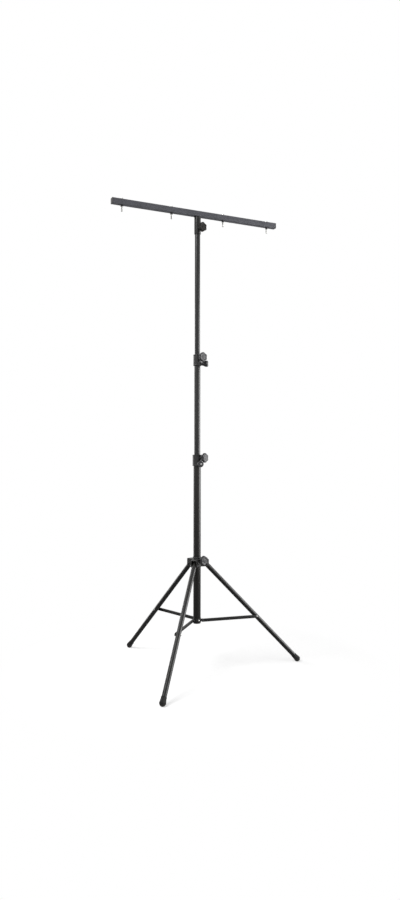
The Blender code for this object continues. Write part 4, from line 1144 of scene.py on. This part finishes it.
def fork(angle_deg):
    """Two cheeks and a roof that hold one leg's head, with the hole for its pin."""
    inner_face = LEG_RADIUS + GAP + CAST_BORE_EASE
    outer_face = LEG_RADIUS + GAP + FORK_THICKNESS
    face = LOWER_RADIUS + SLIDE_CLEARANCE + LEG_COLLAR_WALL
    outer = LEG_PIVOT_RADIUS + FORK_REACH
    low = LEG_PIVOT_RISE - FORK_REACH
    high = LEG_PIVOT_RISE + FORK_TOP_RISE
    outline = rectangle(face / 2, outer, low, high, FORK_CORNER)
    solid = plate([outline], -outer_face, outer_face, upright())
    slot_start = face + FORK_WEB
    slot_end = outer + OVERCUT
    slot_low = low - OVERCUT
    slot_high = high - FORK_ROOF
    slot = block(
        (slot_end - slot_start, 2 * inner_face, slot_high - slot_low),
        Matrix.Translation(((slot_start + slot_end) / 2, 0, (slot_low + slot_high) / 2)),
    )
    through = outer_face + OVERCUT
    pin = sideways(LEG_PIVOT_RADIUS, LEG_PIVOT_RISE)
    mesh = cut(solid, slot, rod(LEG_PIN_RADIUS + GAP, -through, through, place=pin))
    mesh.transform(Matrix.Rotation(math.radians(angle_deg), 4, "Z"))
    return mesh


def dress_leg_collar():
    face = LOWER_RADIUS + SLIDE_CLEARANCE + LEG_COLLAR_WALL
    bore = LOWER_RADIUS + SLIDE_CLEARANCE + CAST_BORE_EASE
    inside = bore - OVERCUT
    outline = [(face, LEG_COLLAR_HEIGHT), (face, 0), (inside, 0), (inside, LEG_COLLAR_HEIGHT)]
    body = turned(softened(outline, LEG_COLLAR_EASE))
    knob_deg = axis_deg("leg_collar_knob_turn")
    boss_end = face + LEG_COLLAR_BOSS_STAND_OUT
    boss, screw_hole = drilled_boss(
        BOSS_RADIUS, SCREW_RADIUS, face - LEG_COLLAR_WALL / 2 + BURIED, boss_end,
        radial(knob_deg, LEG_COLLAR_KNOB_RISE),
    )
    core = rod(bore, -OVERCUT, LEG_COLLAR_HEIGHT + OVERCUT, steps=FINE_STEPS)
    forks = [fork(angle) for angle in LEG_DEGS]
    solid = cut(joined(body, boss, *forks), core, screw_hole)
    add(
        "leg_collar_casting", as_cast(solid, LEG_COLLAR_GRAIN), LEG_CASTING, "leg_collar",
        on_mast(LEG_COLLAR_BOTTOM), ["leg_collar"],
    )
    dress_knob(
        "leg_collar", "leg_collar_screw", knob_deg, LEG_COLLAR_BOTTOM + LEG_COLLAR_KNOB_RISE,
        LOWER_RADIUS + GAP, boss_end,
    )


def dress_leg(number):
    """One leg with its plug, foot and strut bolt, and the pin that it hangs on."""
    body = f"leg_{number}"
    place = hinge_place(f"leg_hinge_{number}", LEG_TILT)
    across = sideways(0, -STRUT_ON_LEG)
    through = LEG_RADIUS * 2
    tube = pipe(LEG_RADIUS, LEG_WALL, FOOT_TUBE_SEAT - LEG_LENGTH, LEG_HEAD, steps=SMALL_STEPS)
    pin_hole = rod(LEG_PIN_RADIUS + GAP, -through, through, place=sideways(0, 0))
    bolt_hole = rod(RIVET_RADIUS + GAP, -through, through, place=across)
    add(
        f"tripod_leg_{number}", cut(tube, pin_hole, bolt_hole), COAT_LEG, body, place,
        [f"leg_tube_{number}"],
    )
    bore = LEG_RADIUS - LEG_WALL - GAP
    flange = LEG_HEAD + GAP
    top = flange + LEG_PLUG_FLANGE
    bottom = LEG_HEAD - LEG_PLUG_INSERT
    outline = [
        (0, top), (LEG_RADIUS, top), (LEG_RADIUS, flange), (bore, flange), (bore, bottom), (0, bottom),
    ]
    plug = turned(softened(outline, LEG_PLUG_EASE, closed=False), SMALL_STEPS, closed=False)
    add(f"leg_head_cap_{number}", plug, CAP_PLASTIC, body, place, [f"leg_plug_{number}"])
    add(
        f"rubber_foot_{number}", rubber_foot(), FOOT_RUBBER, body, place, [f"foot_{number}"],
        sharp_deg=50.0,
    )
    bolt = headed(
        RIVET_RADIUS, GAP - LEG_RADIUS, LEG_RADIUS + GAP, RIVET_HEAD_RADIUS, RIVET_HEAD_DEPTH, across
    )
    add(
        f"strut_bolt_{number}_domed", bolt, ZINC, body, place, [f"strut_bolt_{number}"],
    )
    add(
        f"leg_pivot_bolt_{number}", leg_pin(), BLACK_ZINC, "leg_collar",
        hinge_place(f"leg_hinge_{number}"), [f"leg_pin_{number}"],
    )


def leg_pin():
    """Bolt with a hexagon head, and a nut with a round locking end."""
    seat = LEG_RADIUS + GAP + FORK_THICKNESS + GAP
    across = sideways(0, 0)
    shank = rod(LEG_PIN_RADIUS, -seat - BURIED, seat + BURIED, place=across)
    head = hexagon(LEG_PIN_WIDTH, seat, seat + LEG_PIN_HEAD, across, both_ends=False)
    nut = hexagon(LEG_PIN_WIDTH, -seat - LEG_PIN_NUT_FLATS, -seat, across)
    collar = rod(
        LEG_PIN_COLLAR_RADIUS, -seat - LEG_PIN_NUT, -seat - LEG_PIN_COLLAR_ROOT,
        LEG_PIN_COLLAR_EASE, place=across,
    )
    return gathered(head, shank, nut, collar)


def rubber_foot():
    """Foot with a rolled rim and shallow ribs, cut flat where it stands."""
    ball = FOOT_RADIUS
    neck = FOOT_NECK_RADIUS
    waist = neck - FOOT_STEP
    rim = FOOT_HEIGHT - LEG_LENGTH
    bore = LEG_RADIUS + GAP
    seat = FOOT_TUBE_SEAT - GAP - LEG_LENGTH
    profile = [
        (0, seat), (bore, seat), (bore, rim - FOOT_MOUTH_EASE), (bore + FOOT_EASE, rim),
        (neck - FOOT_EASE, rim), (neck, rim - FOOT_EASE), (neck, rim - FOOT_ROLL),
        (waist, rim - FOOT_ROLL - FOOT_STEP), (waist, rim - FOOT_BAND),
    ]
    taper = rim - FOOT_BAND + LEG_LENGTH
    steps = FOOT_RIBS * FOOT_RIB_RINGS
    for step in range(1, steps):
        share = step / steps
        radius = neck + (ball - neck) * share
        groove = 0.5 - 0.5 * math.cos(math.tau * FOOT_RIBS * share)
        profile.append((radius - FOOT_RIB_DEPTH * groove, -LEG_LENGTH + taper * (1 - share)))
    for step in range(FOOT_BALL_RINGS):
        angle = math.pi / 2 * step / FOOT_BALL_RINGS
        profile.append((ball * math.cos(angle), -LEG_LENGTH - ball * math.sin(angle)))
    profile.append((0, -LEG_LENGTH - ball))
    ground = block(
        (ball * 4, ball * 4, ball * 2),
        Matrix.Translation((0, 0, -LEG_LENGTH))
        @ Matrix.Rotation(LEG_TILT, 4, "Y")
        @ Matrix.Translation((0, 0, -FOOT_CENTRE_HEIGHT - ball)),
    )
    return cut(turned(profile, FOOT_STEPS, closed=False), ground)


def strut_ear(angle_deg):
    """Ear of the hub, with the hole for its strut's rivet."""
    half = HUB_EAR_ROUND
    inner = LOWER_RADIUS - HUB_WALL / 2
    outer = HUB_PIVOT_RADIUS + HUB_EAR_ROUND
    outline = rectangle(inner, outer, -half, half, half * END_ROUNDNESS, steps=10)
    ear = plate([outline], LEG_RADIUS - HUB_EAR_THICKNESS, LEG_RADIUS, upright())
    hole = rod(RIVET_RADIUS + GAP, -LEG_RADIUS * 2, 0, place=sideways(HUB_PIVOT_RADIUS, 0))
    ear = cut(ear, hole)
    ear.transform(Matrix.Rotation(math.radians(angle_deg), 4, "Z"))
    return ear


def hub_rivet():
    """Rivet through an ear and its strut, with a head on both sides."""
    ear_side = LEG_RADIUS - HUB_EAR_THICKNESS - GAP
    strut_side = LEG_RADIUS + GAP + STRUT_WIDTH + GAP
    shank = rod(RIVET_RADIUS, -strut_side, -ear_side, place=sideways(0, 0))
    far = domed_head(RIVET_HEAD_RADIUS, RIVET_HEAD_DEPTH, strut_side + BURIED, other_way(0, 0))
    near = domed_head(RIVET_HEAD_RADIUS, RIVET_HEAD_DEPTH, BURIED - ear_side, sideways(0, 0))
    return gathered(shank, far, near)


def dress_hub():
    """Hub ring with three welded ears, its fixing bolt and the struts' rivets."""
    ring = pipe(HUB_RADIUS, HUB_WALL + BURIED, -HUB_HEIGHT / 2, HUB_HEIGHT / 2, HUB_LIP)
    ears = [strut_ear(angle) for angle in LEG_DEGS]
    core = rod(LOWER_RADIUS + GAP, -HUB_HEIGHT, HUB_HEIGHT, steps=FINE_STEPS)
    bolt = radial(HUB_BOLT_DEG, 0)
    bolt_hole = rod(HUB_BOLT_RADIUS + GAP, 0, HUB_RADIUS + OVERCUT, place=bolt)
    solid = cut(joined(ring, *ears), core, bolt_hole)
    place = on_mast(HUB_PIVOT_HEIGHT)
    add(
        "strut_hub_welded", bevelled(solid, HUB_EASE, 2), COAT_STRUT, "base", place, ["strut_hub"],
    )
    button = headed(
        HUB_BOLT_RADIUS, LOWER_RADIUS - TUBE_WALL - OVERCUT, HUB_RADIUS + GAP,
        HUB_BOLT_HEAD_RADIUS, HUB_BOLT_HEAD_DEPTH, bolt,
    )
    add("hub_button_bolt", button, ZINC, "base", place, ["hub_bolt"])
    for number in (1, 2, 3):
        add(
            f"hub_rivet_{number}", hub_rivet(), BLACK_ZINC, "base",
            hinge_place(f"strut_hinge_{number}"), [f"hub_pin_{number}"],
        )


def dress_strut(number):
    """Channel open below, and the head of the rivet that joins it to its leg."""
    half = STRUT_HEIGHT / 2
    far = STRUT_LENGTH + half
    inner_face = LEG_RADIUS + GAP
    outer_face = inner_face + STRUT_WIDTH
    outline = rectangle(-half, far, -half, half, half * END_ROUNDNESS, steps=12)
    bar = plate([outline], inner_face, outer_face, upright())
    hollow_low = -half - OVERCUT
    hollow_top = half - STRUT_WALL
    hollow = block(
        (far + half + 2 * OVERCUT, STRUT_WIDTH - 2 * STRUT_WALL, hollow_top - hollow_low),
        Matrix.Translation(
            (STRUT_LENGTH / 2, -(inner_face + outer_face) / 2, (hollow_top + hollow_low) / 2)
        ),
    )
    hole = rod(RIVET_RADIUS + GAP, -outer_face * 2, 0, place=sideways(0, 0))
    channel = bevelled(cut(bar, hollow, hole), STRUT_EASE, 2)
    head = domed_head(
        RIVET_HEAD_RADIUS, RIVET_HEAD_DEPTH, outer_face, other_way(STRUT_LENGTH, 0)
    )
    body = f"strut_{number}"
    place = hinge_place(f"strut_hinge_{number}", STRUT_TILT)
    add(f"strut_channel_{number}", channel, COAT_STRUT, body, place, [body])
    add(f"strut_rivet_{number}", head, ZINC, body, place, [])


# Crossbar

def square(side, corner):
    return rectangle(-side / 2, side / 2, -side / 2, side / 2, corner, steps=8)


def dress_crossbar():
    """Square tube with the lamp bolts' holes, and a plug in each end."""
    low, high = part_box("crossbar_tube")
    middle = Matrix.Translation(((low.x + high.x) / 2, MAST_Y, (low.z + high.z) / 2))
    half = (high.x - low.x) / 2
    outer = square(CROSSBAR_SIDE, CROSSBAR_CORNER)
    inner = square(CROSSBAR_SIDE - 2 * CROSSBAR_WALL, CROSSBAR_CORNER - CROSSBAR_WALL)
    tube = plate([outer, inner], -half, half, Matrix.Rotation(math.pi / 2, 4, "Y"))
    holes = [
        rod(
            LAMP_BOLT_RADIUS + GAP, -CROSSBAR_SIDE, CROSSBAR_SIDE,
            place=Matrix.Translation((x, 0, 0)),
        )
        for x in LAMP_BOLT_PLACES
    ]
    add(
        "crossbar_square_tube", cut(tube, *holes), COAT_BAR, "crossbar", middle,
        ["crossbar_tube"], sharp_deg=30.0,
    )
    for side, node in ((-1, "crossbar_cap_left"), (1, "crossbar_cap_right")):
        flange = bevelled(plate([square(CROSSBAR_SIDE, CROSSBAR_CORNER)], 0, CAP_FLANGE), CAP_EASE)
        inside = CROSSBAR_SIDE - 2 * (CROSSBAR_WALL + GAP)
        insert = plate([square(inside, CROSSBAR_CORNER - CROSSBAR_WALL)], -CAP_INSERT, BURIED)
        turn = Matrix.Rotation(side * math.pi / 2, 4, "Y")
        shift = Matrix.Translation((side * (half + GAP), 0, 0))
        add(
            node + "_plug", joined(flange, insert), CAP_PLASTIC, "crossbar",
            middle @ shift @ turn, [node],
        )


def dress_receiver():
    """Sleeve with its boss, welded to the bar, and its knob."""
    face = UPPER_RADIUS + GAP + RECEIVER_WALL
    bore = UPPER_RADIUS + GAP
    outline = [(face, RECEIVER_LENGTH), (face, 0), (bore, 0), (bore, RECEIVER_LENGTH)]
    body = turned(softened(outline, RECEIVER_EASE))
    knob_deg = axis_deg("receiver_knob_turn")
    at_knob = radial(knob_deg, RECEIVER_KNOB_RISE)
    boss_end = face + BOSS_STAND_OUT
    boss, hole = drilled_boss(
        BOSS_RADIUS, SCREW_RADIUS, face - RECEIVER_WALL / 2, boss_end, at_knob,
        RECEIVER_BOSS_EASE, FASTENER_STEPS,
    )
    core = rod(bore, -OVERCUT, RECEIVER_LENGTH + OVERCUT, steps=FINE_STEPS)
    place = on_mast(RECEIVER_BOTTOM)
    add(
        "receiver_tube", cut(joined(body, boss), core, hole), COAT_RECEIVER, "crossbar", place,
        ["receiver_sleeve"],
    )
    beads = [*bar_welds(face), boss_weld(at_knob, face)]
    add(
        "receiver_weld_beads", gathered(*beads), COAT_RECEIVER, "crossbar", place, [],
        sharp_deg=60.0,
    )
    # The knob's plastic is darkened as painted shade
    dress_knob(
        "receiver", "receiver_screw", knob_deg, RECEIVER_BOTTOM + RECEIVER_KNOB_RISE,
        UPPER_RADIUS + GAP, boss_end, MATT_SHADED_KNOB_PLASTIC,
    )


def weld_bead(path, radius):
    """One bead of weld along a path, its drops run together."""
    drops = BEAD.made(
        spots_mesh(path, path=True), COAT_RECEIVER, spacing=radius * WELD_SPACING,
        radius=radius, flatness=WELD_FLATNESS,
    )
    return as_cast(drops, radius * WELD_GRAIN, rounds=2)


def bar_welds(face):
    """A bead on each side of the bar where the sleeve meets it."""
    seam = face + WELD_STAND_OUT
    height = RECEIVER_LENGTH - WELD_BELOW_TOP
    reach = math.asin((CROSSBAR_SIDE / 2 - WELD_SHORT) / seam)
    for middle in (0.0, math.pi):
        angles = [middle - reach + 2 * reach * step / WELD_STEPS for step in range(WELD_STEPS + 1)]
        path = [(seam * math.cos(angle), seam * math.sin(angle), height) for angle in angles]
        yield weld_bead(path, WELD_RADIUS)


def boss_weld(at_knob, face):
    """Ring of weld at the root of the boss, laid on the sleeve's round face."""
    radius = BOSS_RADIUS + BOSS_WELD_STAND_OUT
    steps = WELD_STEPS * 2
    angles = [math.tau * step / steps for step in range(steps + 1)]
    ring = [(radius * math.cos(angle), radius * math.sin(angle), 0) for angle in angles]
    mesh = weld_bead(ring, BOSS_WELD_RADIUS)
    for vertex in mesh.vertices:
        aside = vertex.co.y
        vertex.co.z += math.sqrt(max(face * face - aside * aside, 0.0))
    mesh.transform(at_knob)
    return mesh


def flange_nut(shift):
    """Hexagon nut with a coned flange that lies against the bar."""
    bore = LAMP_BOLT_RADIUS + GAP
    outline = [
        (LAMP_NUT_FLANGE_RADIUS, 0), (LAMP_NUT_FLANGE_RADIUS, -LAMP_NUT_FLANGE_EDGE),
        (LAMP_NUT_WIDTH / 2, -LAMP_NUT_FLANGE_CONE), (bore, -LAMP_NUT_FLANGE_CONE), (bore, 0),
    ]
    flange = turned(softened(outline, LAMP_NUT_EASE), FASTENER_STEPS)
    flange.transform(shift)
    return flange, hexagon(LAMP_NUT_WIDTH, -LAMP_NUT_DEPTH, -LAMP_NUT_FLANGE_DEPTH, shift, bore)


def dress_lamp_bolts():
    bottom = CROSSBAR_BOTTOM
    top = bottom + CROSSBAR_SIDE + GAP
    bolts = [
        thread(
            LAMP_BOLT_RADIUS, bottom - LAMP_BOLT_DROP, bottom + LAMP_BOLT_THREAD_END,
            LAMP_BOLT_PITCH, LAMP_BOLT_PLACES,
        )
    ]
    nuts = []
    for x in LAMP_BOLT_PLACES:
        shift = Matrix.Translation((x, 0, 0))
        shank_start = bottom + LAMP_BOLT_SHANK_START
        bolts.append(rod(LAMP_BOLT_SHANK_RADIUS, shank_start, top + BURIED, place=shift))
        head_end = top + LAMP_BOLT_HEAD_DEPTH
        bolts.append(hexagon(LAMP_BOLT_HEAD_WIDTH, top, head_end, shift, both_ends=False))
        nuts += flange_nut(Matrix.Translation((x, 0, bottom - GAP)))
    add(
        "lamp_bolts_threaded", gathered(*bolts), ZINC, "crossbar", on_mast(0),
        [f"lamp_bolt_{i}" for i in (1, 2, 3, 4)], sharp_deg=50.0,
    )
    add(
        "lamp_flange_nuts", gathered(*nuts), BLACK_ZINC, "crossbar", on_mast(0),
        [f"lamp_nut_{i}" for i in (1, 2, 3, 4)],
    )


def dress_stand():
    dress_tubes()
    dress_mast_end()
    dress_tube_foot(
        "middle_tube_foot", LOWER_RADIUS, MIDDLE_RADIUS, "middle_section",
        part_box("middle_tube")[0].z,
    )
    dress_tube_foot(
        "upper_tube_foot", MIDDLE_RADIUS, UPPER_RADIUS, "upper_section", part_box("upper_tube")[0].z
    )
    dress_clamp("lower", "base", LOWER_CLAMP_BOTTOM, LOWER_RADIUS, MIDDLE_RADIUS)
    dress_clamp("upper", "middle_section", UPPER_CLAMP_BOTTOM, MIDDLE_RADIUS, UPPER_RADIUS)
    dress_leg_collar()
    dress_hub()
    for number in (1, 2, 3):
        dress_leg(number)
        dress_strut(number)
    dress_crossbar()
    dress_receiver()
    dress_lamp_bolts()


dress_stand()


# Floor, light and camera

VIEW_DEG = 64.77                 # direction that the camera looks in, from +X
CAMERA_BACK = 4.58
CAMERA_RIGHT = 0.0181
CAMERA_HEIGHT = 1.4206
LENS = 28.24
CAMERA_ROLL = math.radians(0.085)
SENSOR = 36.0
ROOM_SIDE = 0.30                 # how light the floor and the room behind the camera are in a gloss
ROOM_BEGINS = -0.1               # cosine of the angle from straight behind, where that room begins
ROOM_FULL = 0.85                 # and where it is all that a gloss shows
ROOM_GLOW = 0.90                 # added to the room's wall at the height of the camera
GLOW_MIDDLE = 0.08               # sine of the elevation where that wall is lightest
GLOW_REACH = 0.42                # and how far the light fades above and below
SHADOW_REACH = 0.95              # floor round the mast that shows shadows
WHITE_REACH = 1.30               # floor from here on is the white backdrop
FLOOR_PAINT = 0.9
WHITE = (1.0, 1.0, 1.0, 1.0)


class Studio(NodeTree):
    """Nodes of the world or the floor, with sockets that say what sees it."""

    def __init__(self, tree):
        super().__init__(tree)
        path = self.node("ShaderNodeLightPath").outputs
        self.camera = path["Is Camera Ray"]
        self.gloss = self.maths("MAXIMUM", path["Is Glossy Ray"], path["Is Transmission Ray"])

    def eased(self, value, from_low, from_high, to_low, to_high):
        inputs = {0: value, 1: from_low, 2: from_high, 3: to_low, 4: to_high}
        return self.node("ShaderNodeMapRange", inputs, interpolation_type="SMOOTHSTEP").outputs[0]


def make_world(fill):
    """White all round for the camera; a gloss shows a darker room behind it with a lit wall.

    The coats themselves get only a soft even light, the fill."""
    world = bpy.data.worlds.new("studio")
    bpy.context.scene.world = world
    world.use_nodes = True
    studio = Studio(world.node_tree)
    behind_camera = -camera_frame()[1]
    way = studio.node("ShaderNodeTexCoord").outputs["Generated"]
    height = studio.along(way, Vector((0.0, 0.0, 1.0)))
    off_glow = studio.maths("ABSOLUTE", studio.maths("SUBTRACT", height, GLOW_MIDDLE))
    wall = studio.eased(off_glow, 0.0, GLOW_REACH, ROOM_SIDE + ROOM_GLOW, ROOM_SIDE)
    behind = studio.eased(studio.along(way, behind_camera), ROOM_BEGINS, ROOM_FULL, 0.0, 1.0)
    room = studio.maths(
        "ADD", studio.maths("MULTIPLY", behind, wall), studio.maths("SUBTRACT", 1.0, behind)
    )
    seen = studio.maths("MAXIMUM", studio.camera, room)
    backdrop = studio.node("ShaderNodeBackground", {"Color": WHITE, "Strength": seen})
    soft = studio.tree.nodes["Background"]
    soft.inputs["Color"].default_value = WHITE
    soft.inputs["Strength"].default_value = fill
    direct = studio.maths("MAXIMUM", studio.camera, studio.gloss)
    mix = studio.node(
        "ShaderNodeMixShader", {0: direct, 1: soft.outputs[0], 2: backdrop.outputs[0]}
    )
    studio.link(mix.outputs[0], studio.tree.nodes["World Output"].inputs[0])


def make_floor(size, lift):
    """Pale floor with the feet's soft shadows, going over into the white backdrop.

    The lift is added for the camera alone, so that the floor shows as pale as the backdrop."""
    bm = bmesh.new()
    bmesh.ops.create_grid(bm, x_segments=1, y_segments=1, size=size)
    mesh = mesh_of(bm)
    material = bpy.data.materials.new("studio_floor")
    material.use_nodes = True
    studio = Studio(material.node_tree)
    paint = studio.tree.nodes["Principled BSDF"]
    paint.inputs["Base Color"].default_value = (FLOOR_PAINT, FLOOR_PAINT, FLOOR_PAINT, 1.0)
    paint.inputs["Roughness"].default_value = 0.9
    paint.inputs["Specular IOR Level"].default_value = 0.0
    raised = studio.node(
        "ShaderNodeEmission", {"Strength": studio.maths("MULTIPLY", studio.camera, lift)}
    )
    lit = studio.node("ShaderNodeAddShader", {0: paint.outputs[0], 1: raised.outputs[0]})
    dim = studio.node("ShaderNodeEmission", {"Strength": ROOM_SIDE})
    near = studio.node(
        "ShaderNodeMixShader", {0: studio.gloss, 1: lit.outputs[0], 2: dim.outputs[0]}
    )
    spot = studio.node("ShaderNodeTexCoord").outputs["Object"]
    reach = studio.node("ShaderNodeVectorMath", {0: spot}, operation="LENGTH").outputs["Value"]
    far = studio.eased(reach, SHADOW_REACH, WHITE_REACH, 0.0, 1.0)
    white = studio.node("ShaderNodeEmission", {"Strength": 1.0})
    mix = studio.node(
        "ShaderNodeMixShader",
        {0: studio.maths("MULTIPLY", far, studio.camera), 1: near.outputs[0], 2: white.outputs[0]},
    )
    studio.link(mix.outputs[0], studio.tree.nodes["Material Output"].inputs["Surface"])
    mesh.materials.append(material)
    floor = workpiece(mesh)
    floor.name = "studio_floor"
    return floor


def camera_frame():
    """Right and forward in the photograph's view, and the foot of the mast."""
    angle = math.radians(VIEW_DEG)
    forward = Vector((math.cos(angle), math.sin(angle), 0.0))
    right = Vector((math.sin(angle), -math.cos(angle), 0.0))
    return right, forward, Vector((MAST_X, MAST_Y, 0.0))


def add_lamp(name, right, forward, height, aim_height, width, tall, power):
    """Soft lamp placed in the photograph's own axes and aimed at the mast."""
    to_right, ahead, foot = camera_frame()
    light = bpy.data.lights.new(name, "AREA")
    light.shape = "RECTANGLE"
    light.size = width
    light.size_y = tall
    light.energy = power
    lamp = bpy.data.objects.new(name, light)
    bpy.context.scene.collection.objects.link(lamp)
    lamp.location = foot + to_right * right + ahead * forward + Vector((0, 0, height))
    aim = foot + Vector((0, 0, aim_height))
    lamp.rotation_euler = (aim - lamp.location).to_track_quat("-Z", "Y").to_euler()
    return lamp


def keep_off(lamp, floor):
    """The lamp shows in the coats but casts no second shadow on the floor."""
    spared = bpy.data.collections.new(lamp.name + "_spares")
    spared.objects.link(floor)
    spared.collection_objects[0].light_linking.link_state = "EXCLUDE"
    lamp.light_linking.receiver_collection = spared


def make_camera():
    to_right, ahead, foot = camera_frame()
    data = bpy.data.cameras.new("camera")
    data.sensor_width = SENSOR
    data.lens = LENS
    camera = bpy.data.objects.new("camera", data)
    bpy.context.scene.collection.objects.link(camera)
    camera.location = (
        foot + to_right * CAMERA_RIGHT - ahead * CAMERA_BACK + Vector((0, 0, CAMERA_HEIGHT))
    )
    level = (
        Matrix.Rotation(math.radians(VIEW_DEG - 90), 4, "Z")
        @ Matrix.Rotation(math.pi / 2, 4, "X")
    )
    camera.rotation_euler = (level @ Matrix.Rotation(CAMERA_ROLL, 4, "Z")).to_euler()
    bpy.context.scene.camera = camera


make_world(fill=0.21)
floor = make_floor(size=40.0, lift=0.53)
add_lamp(
    "key", right=-2.8, forward=-2.3, height=5.6, aim_height=1.2, width=3.2, tall=3.2, power=190.0
)
right_box = add_lamp(
    "right_box", right=5.0, forward=0.2, height=1.85, aim_height=1.5, width=4.8, tall=3.3,
    power=360.0,
)
keep_off(right_box, floor)
add_lamp(
    "left_strip", right=-2.8, forward=2.0, height=1.5, aim_height=1.3, width=0.8, tall=3.0,
    power=35.0,
)
make_camera()
bpy.context.scene.view_settings.view_transform = "Standard"
